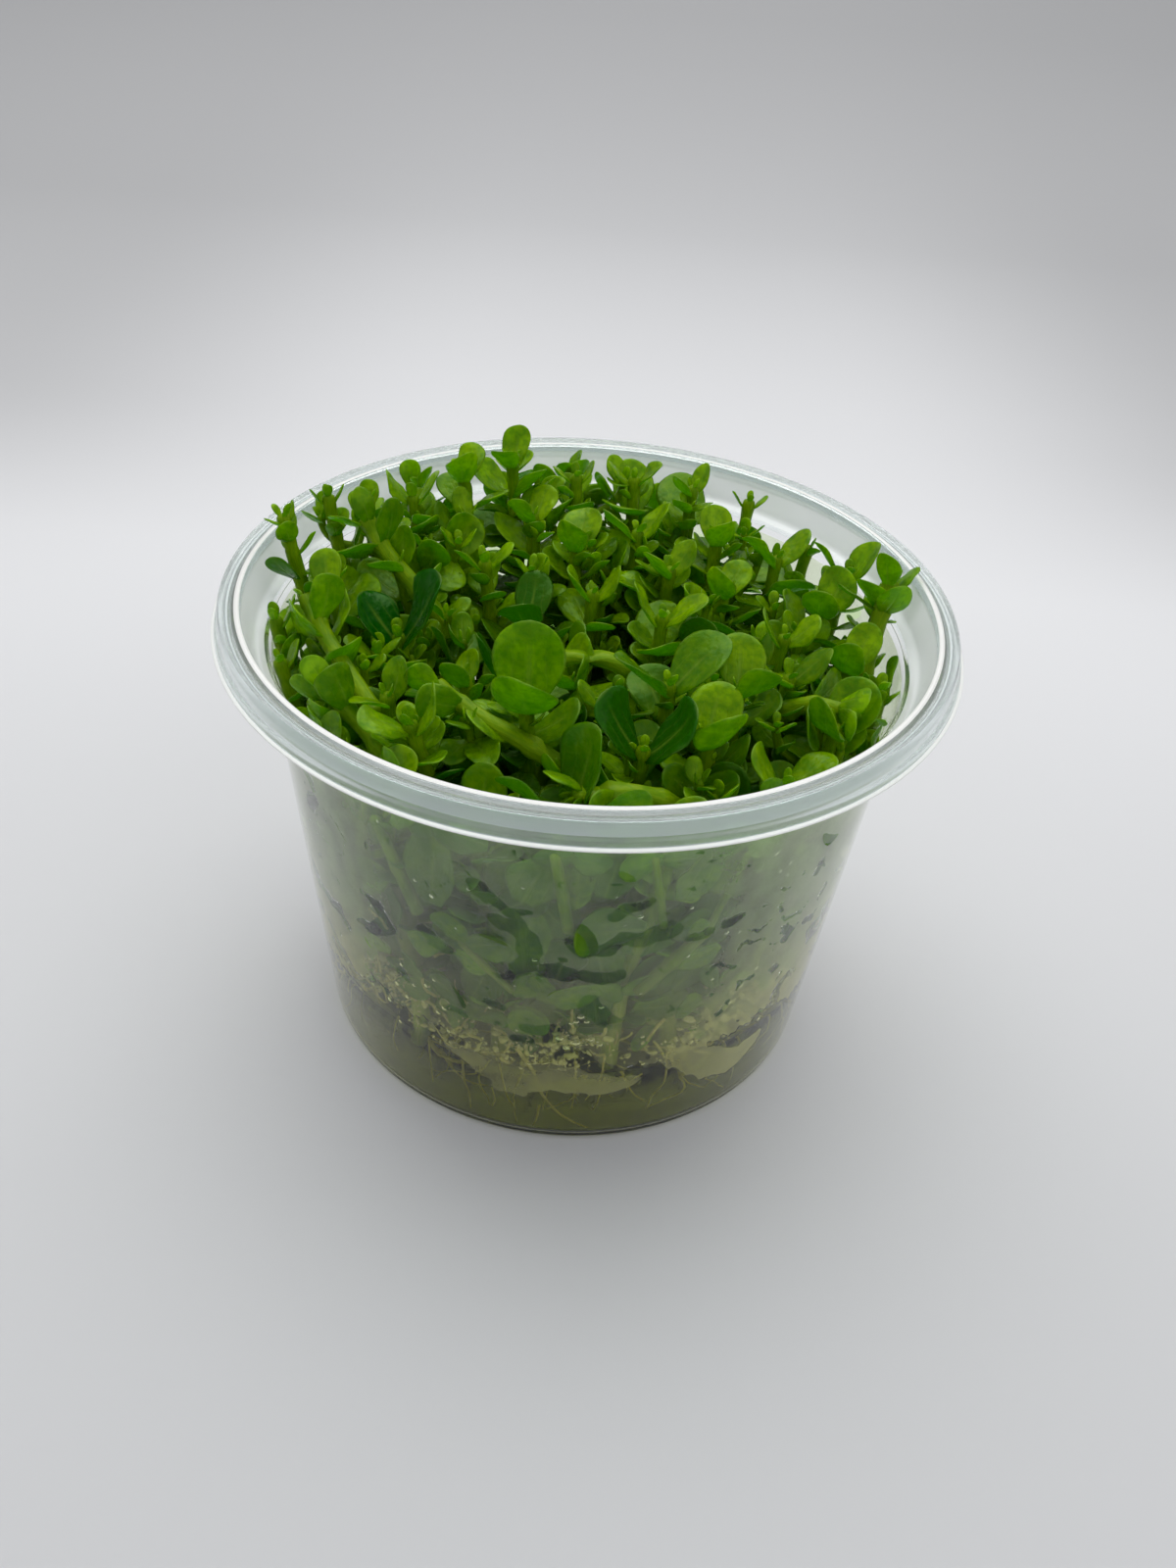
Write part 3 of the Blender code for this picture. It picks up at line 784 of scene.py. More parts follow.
def addRoots(feet):
    s = rootSettings
    draw = random.Random(s["seed"])
    shapes = []
    for places, radius in s["front"]:
        spots = smoothChain([onWall(arc, z, 0.8) for arc, z in places], s["steps"])
        radii = [radius * (1.0 - 0.55 * i / s["steps"]) for i in range(s["steps"] + 1)]
        shapes.append(tubeMesh(spots, radii, s["sides"]))
    for foot in feet:
        for _ in range(s["each"]):
            turn = draw.uniform(0.0, 2.0 * math.pi)
            way = Vector((math.cos(turn), math.sin(turn), draw.uniform(-1.6, -0.7))).normalized()
            spot = Vector((foot[0], foot[1], gelTop - draw.uniform(1.5, 2.8))) + Vector((way.x, way.y, 0.0)) * 0.9
            spots = []
            for _ in range(s["steps"]):
                spots.append(spot.copy())
                way = (way + Vector([draw.uniform(-0.35, 0.35) for _ in range(3)])).normalized()
                spot = spot + way * draw.uniform(0.7, 1.3)
                limit = innerWall(spot.z) - 1.2
                if spot.xy.length > limit:
                    spot.xy = spot.xy * (limit / spot.xy.length)
                    way = (way - Vector((spot.x, spot.y, 0.0)) / limit * 0.8).normalized()
                spot.z = min(max(spot.z, 1.6), gelTop - 1.2)
            size = draw.uniform(*s["radius"])
            radii = [size * (1.0 - 0.5 * i / s["steps"]) for i in range(s["steps"])]
            shapes.append(tubeMesh(spots, radii, s["sides"]))
    for _ in range(s["tangle"]):
        (arc, z), (wide, high), _ = draw.choice(crumbSettings["heaps"])
        spot = onWall(draw.gauss(arc, wide * 0.8), max(draw.gauss(z + 1.0, high), gelTop + 0.6), draw.uniform(0.5, 2.5))
        way = Vector([draw.uniform(-1.0, 1.0) for _ in range(3)]).normalized()
        spots = []
        for _ in range(s["steps"] // 2):
            spots.append(spot.copy())
            way = (way + Vector([draw.uniform(-0.3, 0.3) for _ in range(3)])).normalized()
            spot = spot + way * draw.uniform(0.4, 0.9)
            limit = innerWall(spot.z) - 0.4
            if spot.xy.length > limit:
                spot.xy = spot.xy * (limit / spot.xy.length)
        size = draw.uniform(0.10, 0.26)
        shapes.append(tubeMesh(spots, [size] * len(spots), s["sides"]))
    joinShapes("roots", shapes, paleRootLook(), "pale_gel")


crumbSettings = dict(
    # heaps of crumbs by the wall: middle (arc, height), spread of each, and how many
    heaps=(
        ((-25.0, 22.5), (6.5, 4.2), 150),
        ((-33.0, 19.0), (5.0, 3.4), 70),
        ((-14.0, 17.0), (7.0, 2.4), 90),
        ((-2.0, 17.5), (7.0, 2.4), 90),
        ((3.2, 21.0), (3.8, 2.2), 50),
        ((20.0, 18.0), (6.0, 3.0), 90),
        ((27.0, 23.0), (5.0, 4.2), 130),
        ((36.0, 19.0), (5.0, 3.4), 60),
        ((70.0, 18.0), (14.0, 3.0), 60),
        ((-70.0, 18.0), (14.0, 3.0), 60),
        ((105.0, 17.5), (14.0, 2.6), 50),
        ((-105.0, 17.5), (14.0, 2.6), 50),
    ),
    sizes=(0.3, 1.5),
    depth=(0.1, 3.0),  # in from the wall
    seed=47,
)


def lumpGrid(rings, sides):
    # directions and faces of a round lump
    points = [(0.0, 0.0, 1.0)]
    for k in range(1, rings):
        polar = math.pi * k / rings
        for i in range(sides):
            a = 2 * math.pi * (i + 0.5 * (k % 2)) / sides
            points.append((math.sin(polar) * math.cos(a), math.sin(polar) * math.sin(a), math.cos(polar)))
    points.append((0.0, 0.0, -1.0))
    faces = [(0, 1 + i, 1 + (i + 1) % sides) for i in range(sides)]
    for k in range(rings - 2):
        low, high = 1 + k * sides, 1 + (k + 1) * sides
        for i in range(sides):
            j = (i + 1) % sides
            faces.append((low + i, high + i, high + j, low + j))
    last = 1 + (rings - 2) * sides
    faces += [(last + (i + 1) % sides, last + i, len(points) - 1) for i in range(sides)]
    return np.array(points), faces


crumbGrid = lumpGrid(6, 8)
dropGrid = lumpGrid(8, 12)


def crumbLook():
    look, tree, out = newLook("gelCrumb")
    cloud = speckle(tree, place(tree), 2.5, 2.0)
    base = blendColour(tree, remap(tree, cloud, 0.35, 0.65), (0.72, 0.72, 0.34, 1.0), (0.98, 0.95, 0.70, 1.0))
    shader = put(tree, "BsdfPrincipled", {
        "Base Color": base,
        "Roughness": 0.25,
        "IOR": 1.34,
        "Transmission Weight": 0.30,
    })
    tree.links.new(letLampsThrough(tree, shader.outputs[0], (0.85, 0.86, 0.7, 1.0)), out.inputs["Surface"])
    return look


def addCrumbs():
    s = crumbSettings
    draw = random.Random(s["seed"])
    grid, faces = crumbGrid
    shapes = []
    for (arc, z), (wide, high), count in s["heaps"]:
        for _ in range(count):
            size = s["sizes"][0] * (s["sizes"][1] / s["sizes"][0]) ** (draw.random() ** 1.6)
            height = max(draw.gauss(z, high * 0.6), gelTop + 0.9 * size)
            along = draw.gauss(arc, wide * 0.7)
            middle = onWall(along, height, size + draw.uniform(*s["depth"]) * draw.random())
            turn = Vector([draw.uniform(-3.0, 3.0) for _ in range(3)])
            rows = np.array(Matrix.Rotation(draw.uniform(0, 6.3), 3, turn.normalized()))
            stretch = np.array([draw.uniform(0.5, 1.5), draw.uniform(0.6, 1.1), draw.uniform(0.35, 0.8)])
            knobs = 1.0 + 0.22 * np.sin(grid @ rows[0] * 3.0 + turn.x) * np.sin(grid @ rows[1] * 4.0 + turn.y)
            points = (grid * knobs[:, None] * stretch) @ rows * size * 0.55 + np.array(middle)
            shapes.append(([tuple(p) for p in points], faces))
    joinShapes("gelCrumbs", shapes, crumbLook(), "pale_gel")


dropSettings = dict(
    # drops at the front: (arc, height, radius)
    front=(
        (-21.9, 22.5, 0.42), (-22.6, 29.0, 0.34), (-18.6, 27.2, 0.40), (-15.8, 24.0, 0.5), (-20.6, 26.0, 0.3),
        (2.8, 28.0, 0.5), (3.6, 27.0, 0.4), (1.6, 26.6, 0.34), (0.2, 23.2, 0.6), (2.4, 22.4, 0.7), (4.4, 23.2, 0.55),
        (5.6, 22.0, 0.45), (1.2, 21.2, 0.5), (25.6, 28.0, 0.45), (27.8, 30.5, 0.4), (24.2, 25.2, 0.4), (-9.2, 27.4, 0.3),
    ),
    strewn=190,
    radius=(0.14, 0.42),
    off=0.03,
    seed=53,
)


def waterLook():
    look, tree, out = newLook("clearWater")
    shader = put(tree, "BsdfPrincipled", {
        "Base Color": (0.97, 0.98, 0.97, 1.0),
        "Roughness": remap(tree, speckle(tree, place(tree), 1.0), 0.4, 0.6, 0.0, 0.03),
        "IOR": 1.33,
        "Transmission Weight": 1.0,
    })
    tree.links.new(letLampsThrough(tree, shader.outputs[0], (0.95, 0.97, 0.95, 1.0)), out.inputs["Surface"])
    return look


def addDrops():
    s = dropSettings
    draw = random.Random(s["seed"])
    spots = list(s["front"])
    for _ in range(s["strewn"]):
        low, high = s["radius"]
        spots.append((draw.uniform(-126.0, 126.0), 15.5 + 40.0 * draw.random() ** 1.7, draw.uniform(low, high)))
    grid, faces = dropGrid
    shapes = []
    for arc, z, radius in spots:
        along, up, inward = (np.array(axis) for axis in wallAxes(arc, z))
        flat = 0.34 * radius
        middle = np.array(onWall(arc, z, flat + s["off"] + 0.5 * radius * radius / innerWall(z)))
        sag = grid[:, 1] - 0.25 * (1.0 - grid[:, 1] ** 2)
        points = middle + radius * (grid[:, :1] * along + sag[:, None] * up) + flat * grid[:, 2:] * inward
        shapes.append(([tuple(p) for p in points], faces))
    joinShapes("wallDrops", shapes, waterLook(), "pale_gel")


addGel()
addCrumbs()
addDrops()
print("the gel is in, with its crumbs and drops")


# The sprigs. Their stems and main leaves stand where the plain solids do

stemSettings = dict(
    radius=1.3,
    tipRadius=0.85,
    rise=17.0,  # how far a stem goes straight up before it bends over
    tipRise=12.0,  # how far it straightens up again below its tip
    tipLean=0.25,
    footGap=0.3,
    step=0.002,
    testLengths=8,
    sink=3.0,  # how far the foot goes down into the gel
    sides=14,
    rings=30,
    swell=0.22,  # how much the joints of a stem swell
)

leafSettings = dict(
    drops=(0.9, 5.5, 12.0),  # from the tip down to each pair of leaves
    tilts=(38.0, 56.0, 68.0),
    width=0.78,
    thickness=0.6,
    widest=0.62,
    bluntEnd=0.55,
    clearance=0.45,
    leastHeight=1.0,
    turns=(0, 12, -12, 24, -24, 38, -38),
    tips=(0, -12, 12),
    shrinks=(1.0, 0.85, 0.7, 0.55),
    # how light the biggest leaves are, by sprig; the light one on sprig 37 is a painted sheen
    known={33: 0.0, 37: 0.85, 38: 0.35, 39: 0.06, 40: 0.5, 51: 0.1, 29: 0.1},
)

# Each sprig: its tip, its foot on the gel, the way its top pair faces in degrees,
# and the leaf length of each pair from the top down
sprigRows = (
    ((-39, 17, 71), (-31, 10), 20, (3, 4, 6)),
    ((-43, 6, 73), (-33, 2), 60, (3, 4, 7)),
    ((-42, -6, 64), (-34, -9), 10, (5, 7, 7)),
    ((-40, -13, 62), (-32, -13), 30, (4, 6, 7)),
    ((-36, 0, 66), (-27, 4), 100, (6, 9, 7)),
    ((-34, 20, 69), (-27, 17), 80, (4, 6, 7)),
    ((-28, 25, 68), (-22, 22), 10, (6, 7, 7)),
    ((-21, 30, 70), (-16, 26), 70, (6, 7, 8)),
    ((-14, 34, 71), (-10, 30), 75, (6, 7, 8)),
    ((-10, 26, 66), (-7, 20), 60, (6, 8)),
    ((-4, 34, 69), (-3, 31), 15, (4, 6, 7)),
    ((-3, 20, 65), (-2, 15), 75, (7, 6, 7)),
    ((6, 25, 65), (5, 20), 30, (7, 8)),
    ((5, 37, 68), (6, 32), 0, (5, 9, 7)),
    ((14, 33, 69), (13, 27), 50, (5, 10, 8)),
    ((18, 25, 65), (17, 18), 100, (6, 7)),
    ((23, 34, 67), (20, 28), 0, (3, 4, 6)),
    ((27, 22, 64), (24, 16), 30, (7, 8)),
    ((32, 26, 64), (26, 22), 70, (3, 4, 7)),
    ((37, 17, 65), (31, 14), 0, (7, 6, 7)),
    ((41, 8, 66), (33, 4), 45, (7, 7, 6)),
    ((40, -6, 60), (33, -9), 0, (4, 4, 7)),
    ((33, 10, 63), (27, 9), 70, (7, 8)),
    ((27, 1, 63), (22, 5), 10, (6, 7)),
    ((19, 13, 63), (15, 11), 60, (6, 7)),
    ((10, 4, 63), (9, 4), 0, (7, 8)),
    ((11, 16, 64), (8, 13), 45, (6, 8)),
    ((0, 11, 62), (-1, 8), 20, (6, 7)),
    ((-9, 8, 59), (-7, 4), 80, (8, 8)),
    ((-16, 14, 64), (-11, 12), 20, (5, 6, 7)),
    ((-28, 10, 65), (-18, 8), 70, (6, 8)),
    ((-35, -8, 64), (-19, -31), 45, (7, 7, 7)),
    ((-26, -3, 61), (-19, -3), 10, (12, 8)),
    ((-25, -19, 62), (-23, -13), 60, (6, 7, 7)),
    ((-21, -26, 63), (-12, -23), 0, (7, 6, 7)),
    ((-16, -12, 61), (-2, -25), 80, (5, 6)),
    ((-7, -21, 64), (-6, -14), 90, (11, 8)),
    ((-1, -33, 58), (15, -30), 30, (11, 7)),
    ((8, -25, 61), (5, -20), 0, (10, 8)),
    ((11, -13, 63), (11, -11), 30, (10, 8)),
    ((16, -23, 62), (18, -21), 80, (8, 7)),
    ((20, -14, 64), (19, -13), 100, (8, 7)),
    ((27, -9, 63), (26, -6), 20, (7, 7)),
    ((33, -17, 61), (28, -15), 50, (8, 7, 7)),
    ((26, -27, 59), (22, -27), 0, (7, 7, 7)),
    ((-25, -32, 58), (-29, -20), 70, (7, 7, 7)),
    ((-12, -34, 56), (-8, -32), 45, (7, 7, 7)),
    ((12, -38, 57), (7, -34), 60, (7, 8, 7)),
    ((-2, 2, 53), (0, 0), 30, (4, 4)),
    ((-2, -6, 58), (16, -4), 60, (7, 7)),
    ((-11, -4, 57), (-11, -8), 10, (8, 8)),
    ((36, -3, 62), (29, -1), 60, (7, 8)),
)


def roomInside(height):
    # the largest radius that a leaf may reach at a height
    if height < ledge:
        return innerWall(height)
    if height < cupTop - 1.0:
        return innerWall(ledge) + (height - ledge) * 0.6
    return 46.2 if height < cupTop + 0.8 else 49.0


class StemLine:
    # the middle of a stem, as a cubic curve with a frame that doesn't twist

    def __init__(self, ends, turn, radius, tipRadius):
        self.ends = ends
        self.turn = math.radians(turn)
        self.radii = (radius, tipRadius)

    def point(self, t):
        a, b, c, d = self.ends
        u = 1.0 - t
        return a * u**3 + b * (3 * u * u * t) + c * (3 * u * t * t) + d * t**3

    def heading(self, t):
        a, b, c, d = self.ends
        u = 1.0 - t
        return ((b - a) * (u * u) + (c - b) * (2 * u * t) + (d - c) * (t * t)).normalized()

    def atDrop(self, drop):
        t, gone, spot = 1.0, 0.0, self.point(1.0)
        while gone < drop and t > 0.0:
            t -= stemSettings["step"]
            below = self.point(t)
            gone += (below - spot).length
            spot = below
        return t

    def radius(self, t):
        return self.radii[0] + (self.radii[1] - self.radii[0]) * t

    def sideways(self, t, angle):
        heading = self.heading(t)
        flat = Vector((math.cos(self.turn + angle), math.sin(self.turn + angle), 0.0))
        return (flat - heading * flat.dot(heading)).normalized()


def mainStem(tip, foot, turn):
    s = stemSettings
    top = Vector(tip)
    start = Vector((foot[0], foot[1], gelTop + s["footGap"]))
    lean = Vector((top.x - start.x, top.y - start.y, 0.0)) * s["tipLean"]
    before = top - lean - Vector((0.0, 0.0, s["tipRise"]))
    ends = (start, start + Vector((0.0, 0.0, s["rise"])), before, top)
    return StemLine(ends, turn, s["radius"], s["tipRadius"])


class Leaf:
    # one leaf on a stem: where it sits and how it points

    def __init__(self, stem, drop, angle, tilt, length, turn=0.0, tip=0.0):
        self.length = length
        t = stem.atDrop(drop)
        heading = stem.heading(t)
        self.out = stem.sideways(t, angle + math.radians(turn))
        self.across = heading.cross(self.out)
        lean = math.radians(tilt + tip)
        self.blade = heading * math.cos(lean) + self.out * math.sin(lean)
        self.up = self.blade.cross(self.across)
        self.neck = stem.point(t) + self.out * stem.radius(t)
        self.share = t

    def rings(self, grow=0.0):
        # four corners at the neck, the widest place and the end, for testing what it touches
        s = leafSettings
        width = s["width"] * self.length
        half = s["thickness"] / 2 + grow
        rings = []
        for along, share, lift in ((0.12, 0.3, 0.0), (s["widest"], 1.0, -0.03), (1.0, s["bluntEnd"], 0.05)):
            middle = self.neck + self.blade * (self.length + grow) * along + self.up * self.length * lift
            reach = self.across * (width * share / 2 + grow)
            corners = ((-1, -1), (1, -1), (1, 1), (-1, 1))
            rings.append([middle + reach * a + self.up * half * b for a, b in corners])
        return rings


def shell(rings):
    sides = len(rings[0])
    points = [p for ring in rings for p in ring]
    faces = [tuple(reversed(range(sides)))]
    for k in range(len(rings) - 1):
        for i in range(sides):
            j = (i + 1) % sides
            faces.append((k * sides + i, k * sides + j, (k + 1) * sides + j, (k + 1) * sides + i))
    faces.append(tuple((len(rings) - 1) * sides + i for i in range(sides)))
    return points, faces


class Standing:
    # all that stands already, for later leaves to keep clear of

    def __init__(self):
        self.spots = np.zeros((6000, 4))
        self.stemOf = np.full(6000, -1)
        self.trees = []

    def add(self, rings, stemOf=-1):
        points, faces = shell(rings)
        middle = sum(points, Vector()) / len(points)
        i = len(self.trees)
        self.spots[i] = (*middle, max((p - middle).length for p in points))
        self.stemOf[i] = stemOf
        self.trees.append(BVHTree.FromPolygons(points, faces))

    def touches(self, rings, ownStem):
        points, faces = shell(rings)
        middle = sum(points, Vector()) / len(points)
        reach = max((p - middle).length for p in points)
        spots = self.spots[:len(self.trees)]
        gaps = np.linalg.norm(spots[:, :3] - np.array(middle), axis=1) - spots[:, 3] - reach
        near = np.nonzero((gaps <= 0.0) & (self.stemOf[:len(gaps)] != ownStem))[0]
        if not len(near):
            return False
        tree = BVHTree.FromPolygons(points, faces)
        return any(self.trees[i].overlap(tree) for i in near)


def insideCup(rings, margin):
    for p in (p for ring in rings for p in ring):
        if math.hypot(p.x, p.y) > roomInside(p.z) - margin:
            return False
        if p.z < gelTop + leafSettings["leastHeight"]:
            return False
    return True


def stemRing(stem, t, sides):
    middle, radius = stem.point(t), stem.radius(t)
    return [middle + stem.sideways(t, 2 * math.pi / sides * i) * radius for i in range(sides)]


def fitLeaf(standing, owner, stem, drop, angle, tilt, length, s):
    # the first size, tip and turn at which a leaf clears the cup and all that stands
    for shrink in s["shrinks"]:
        for tip in s["tips"]:
            for turn in s["turns"]:
                leaf = Leaf(stem, drop, angle, tilt, length * shrink, turn, tip)
                rings = leaf.rings(s["clearance"])
                if insideCup(rings, s["clearance"]) and not standing.touches(rings, owner):
                    return leaf
    return None


def growMainLeaves(stems, standing):
    s = leafSettings
    leaves = [[] for _ in stems]
    for pair, (drop, tilt) in enumerate(zip(s["drops"], s["tilts"])):
        for owner, stem in enumerate(stems):
            lengths = sprigRows[owner][3]
            if pair >= len(lengths):
                continue
            for side in (0, 1):
                angle = math.pi / 2 * pair + math.pi * side
                leaf = fitLeaf(standing, owner, stem, drop, angle, tilt, lengths[pair], s)
                if leaf:
                    leaf.young = (0.75, 0.35, 0.1)[pair]
                    if pair == 0 and owner + 1 in s["known"]:
                        leaf.young, leaf.bright = 0.0, s["known"][owner + 1]
                    leaves[owner].append(leaf)
                    standing.add(leaf.rings())
    return leaves


extraSettings = dict(
    # each row: drop from the tip, turn from the top pair, tilt, and least and most length
    rows=(
        (12.0, 180, 66.0, 6.0, 8.5),
        (3.1, 45, 46.0, 3.0, 4.6),
        (8.6, 135, 62.0, 4.5, 7.0),
        (15.4, 45, 70.0, 5.5, 8.0),
        (18.8, 90, 72.0, 6.5, 9.0),
        (22.5, 150, 74.0, 6.0, 9.0),
        (26.5, 0, 76.0, 6.5, 9.0),
        (33.0, 90, 80.0, 6.5, 9.0),
        (40.0, 0, 80.0, 6.0, 8.5),
        (46.5, 90, 82.0, 5.0, 8.0),
    ),
    bare=0.45,  # share of the upper joints that stay bare, so that the stems show
    clearance=0.02,
    turns=(0, 15, -15, 30, -30, 45, -45),
    tips=(0, -15, 15, 28, -28),
    shrinks=(1.0, 0.85, 0.7, 0.55),
    seed=5,
)


# Leaves that lie against the wall: where the neck is (arc, height), the way the leaf
# points in degrees (0 along the wall towards +X, 90 up), length, and how far off the wall
pressedSettings = dict(
    rows=(
        (-17.6, 44.2, 92, 11.0, 1.0),
        (-23.0, 54.8, 60, 5.0, 1.2),
        (-27.6, 49.0, 100, 7.0, 2.2),
        (-5.6, 47.6, 70, 9.0, 2.2),
        (-10.6, 56.6, 175, 7.5, 1.6),
        (0.2, 57.6, 215, 5.4, 0.9),
        (0.4, 57.6, -30, 5.4, 0.9),
        (11.4, 56.8, 195, 6.0, 0.8),
        (11.4, 56.8, -5, 6.5, 0.8),
        (4.8, 49.6, 75, 8.0, 2.4),
        (15.2, 48.6, 70, 9.0, 1.9),
        (22.3, 57.6, 200, 6.0, 0.8),
        (22.9, 56.8, -35, 5.5, 0.9),
        (9.6, 44.2, 175, 9.0, 1.1),
        (13.6, 43.0, -10, 6.0, 1.3),
        (-12.8, 38.6, 150, 6.0, 0.9),
        (-12.4, 38.0, 20, 6.5, 1.1),
        (-16.4, 36.6, 205, 6.0, 1.0),
        (-6.2, 30.4, 40, 6.0, 1.2),
        (-3.6, 34.4, -70, 6.0, 1.0),
        (4.8, 32.4, 200, 7.0, 1.4),
        (8.4, 32.0, 10, 6.5, 1.3),
        (19.6, 41.6, 150, 7.0, 1.4),
        (26.0, 50.0, 80, 7.0, 1.6),
        (30.5, 44.0, 120, 7.0, 1.5),
        (-31.5, 38.0, 60, 7.0, 1.5),
        (-36.0, 30.0, 80, 8.0, 1.5),
        (-5.0, 33.5, 97, 12.5, 2.6),
        (-9.6, 43.6, 35, 8.0, 3.2),
        (-18.4, 33.6, 55, 9.0, 2.7),
        (-28.6, 31.4, 80, 10.0, 2.6),
        (-0.6, 33.6, 75, 7.0, 2.8),
        (6.4, 31.4, 105, 9.0, 3.2),
        (5.4, 24.6, 100, 8.0, 2.6),
        (-2.6, 21.4, 130, 6.0, 2.0),
        (9.4, 38.4, 62, 9.5, 3.0),
        (19.0, 38.0, 82, 9.0, 2.8),
        (-12.6, 26.0, 70, 8.0, 2.9),
        (14.0, 29.0, 110, 8.5, 3.0),
        (-22.0, 41.0, 70, 9.0, 3.0),
        (34.4, 42.0, 95, 9.0, 2.6),
        (16.6, 25.2, 65, 4.6, 0.7),
        (-19.8, 27.8, 160, 4.6, 0.8),
        (-10.4, 23.6, 20, 4.2, 0.8),
    ),
    strewn=260,
    heights=(18.0, 62.0),
    lengths=(3.8, 9.0),
    off=(0.8, 5.0),
    seed=61,
)


class PressedLeaf:
    # a leaf lying along the wall, with the same frame as one that grows on a stem

    def __init__(self, arc, z, toward, length, off, young=0.3):
        along, up, inward = wallAxes(arc, z)
        turn = math.radians(toward)
        self.length = length
        self.blade = (along * math.cos(turn) + up * math.sin(turn) + inward * 0.06).normalized()
        self.across = self.blade.cross(inward).normalized()
        self.up = self.blade.cross(self.across)
        self.neck = onWall(arc, z, off)
        self.young = young

    rings = Leaf.rings


def growPressedLeaves(stems, standing, leaves):
    s = pressedSettings
    draw = random.Random(s["seed"])
    feet = [stem.point(0.3) for stem in stems]
    placed = 0
    for row in s["rows"]:
        leaf = PressedLeaf(*row)
        owner = min(range(len(feet)), key=lambda i: (feet[i].xy - leaf.neck.xy).length)
        leaves[owner].append(leaf)
        standing.add(leaf.rings())
    for _ in range(s["strewn"] * 3):
        if placed == s["strewn"]:
            break
        place = (draw.uniform(-128.0, 128.0), draw.uniform(*s["heights"]), draw.uniform(0.0, 360.0))
        leaf = PressedLeaf(*place, draw.uniform(*s["lengths"]), draw.uniform(*s["off"]))
        rings = leaf.rings(0.02)
        if not insideCup(rings, 0.05) or standing.touches(rings, -3):
            continue
        owner = min(range(len(feet)), key=lambda i: (feet[i].xy - leaf.neck.xy).length)
        leaves[owner].append(leaf)
        standing.add(leaf.rings())
        placed += 1
    print("leaves against the wall", placed + len(s["rows"]))


def growExtraLeaves(stems, standing, leaves):
    # the pairs between and below the main ones, which fill the cup
    s = extraSettings
    draw = random.Random(s["seed"])
    for row, (drop, turn, tilt, least, most) in enumerate(s["rows"]):
        for owner, stem in enumerate(stems):
            if row == 0 and len(sprigRows[owner][3]) > 2:
                continue
            if drop < 9.0 and draw.random() < s["bare"]:
                continue
            length = draw.uniform(least, most)
            if stem.atDrop(drop + 3.0) <= 0.0:
                continue
            for side in (0, 1):
                angle = math.radians(turn) + math.pi * side + draw.uniform(-0.2, 0.2)
                leaf = fitLeaf(standing, owner, stem, drop, angle, tilt, length, s)
                if leaf:
                    leaf.young = 0.4 if drop < 4.0 else 0.1
                    leaves[owner].append(leaf)
                    standing.add(leaf.rings())


shootSettings = dict(
    canopyTries=3200,
    canopyMost=240,
    under=(0.5, 10.0),  # how far its tip stays under the leaves about it
    wallTries=2600,
    wallMost=230,
    wallHeights=(24.0, 60.0),
    offWall=(1.5, 9.0),
    radius=0.75,
    tipRadius=0.5,
    reach=9.0,  # how far sideways it may grow from its stem
    drops=(0.5, 3.4, 7.0),
    tilts=(42.0, 62.0, 74.0),
    lengths=((3.0, 5.0), (4.5, 7.0), (5.0, 7.5)),
    clearance=0.02,
    turns=(0, 30, -30, 60, -60),
    tips=(0, -18, 18),
    shrinks=(1.0, 0.8, 0.62),
    least=3,
    seed=23,
)


def canopyHeight(x, y):
    # a smooth height through the tips of the sprigs
    tips = np.array([row[0] for row in sprigRows], float)
    weight = 1.0 / (((tips[:, :2] - (x, y)) ** 2).sum(1) + 4.0) ** 1.5
    return float((tips[:, 2] * weight).sum() / weight.sum())


def canopyTip(draw, s):
    r, a = 44.0 * math.sqrt(draw.random()), draw.uniform(0.0, 2 * math.pi)
    x, y = r * math.cos(a), r * math.sin(a)
    return Vector((x, y, canopyHeight(x, y) - draw.uniform(*s["under"])))


def wallTip(draw, s):
    z, a = draw.uniform(*s["wallHeights"]), draw.uniform(0.0, 2 * math.pi)
    r = innerWall(z) - draw.uniform(*s["offWall"])
    return Vector((r * math.cos(a), r * math.sin(a), z))


def growShoots(stems, standing, tipPlace, tries, most, seed):
    # side shoots that rise from the stems into the gaps between the sprigs
    s = shootSettings
    draw = random.Random(seed)
    starts = [i / 16 for i in range(1, 14)]
    feet = [(owner, t, stem.point(t)) for owner, stem in enumerate(stems) for t in starts]
    shoots = []
    for _ in range(tries):
        if len(shoots) >= most:
            break
        tip = tipPlace(draw, s)
        if tip.xy.length > roomInside(tip.z) - 1.5:
            continue
        near = [
            (abs((tip - spot).length - 11.0), owner, t, spot)
            for owner, t, spot in feet
            if (tip - spot).z > 3.0 and (tip - spot).xy.length < s["reach"]
        ]
        if not near:
            continue
        _, owner, t, spot = min(near, key=lambda row: row[0])
        lean = Vector(((tip - spot).x, (tip - spot).y, 0.0))
        ends = (spot, spot + lean * 0.6 + Vector((0, 0, 1.5)), tip - Vector((0, 0, 4.0)), tip)
        stem = StemLine(ends, math.degrees(draw.uniform(0, math.pi)), s["radius"], s["tipRadius"])
        tube = [[stemRing(stem, k / 6, 5), stemRing(stem, (k + 1) / 6, 5)] for k in range(1, 6)]
        if any(standing.touches(rings, owner) for rings in tube):
            continue
        grown = []
        for pair, (drop, tilt) in enumerate(zip(s["drops"], s["tilts"])):
            length = draw.uniform(*s["lengths"][pair])
            for side in (0, 1):
                angle = math.pi / 2 * pair + math.pi * side
                leaf = fitLeaf(standing, -2, stem, drop, angle, tilt, length, s)
                if leaf:
                    leaf.young = (0.6, 0.3, 0.1)[pair]
                    grown.append(leaf)
        if len(grown) < s["least"]:
            continue
        for rings in tube:
            standing.add(rings)
        for leaf in grown:
            standing.add(leaf.rings())
        shoots.append((owner, stem, grown))
    return shoots


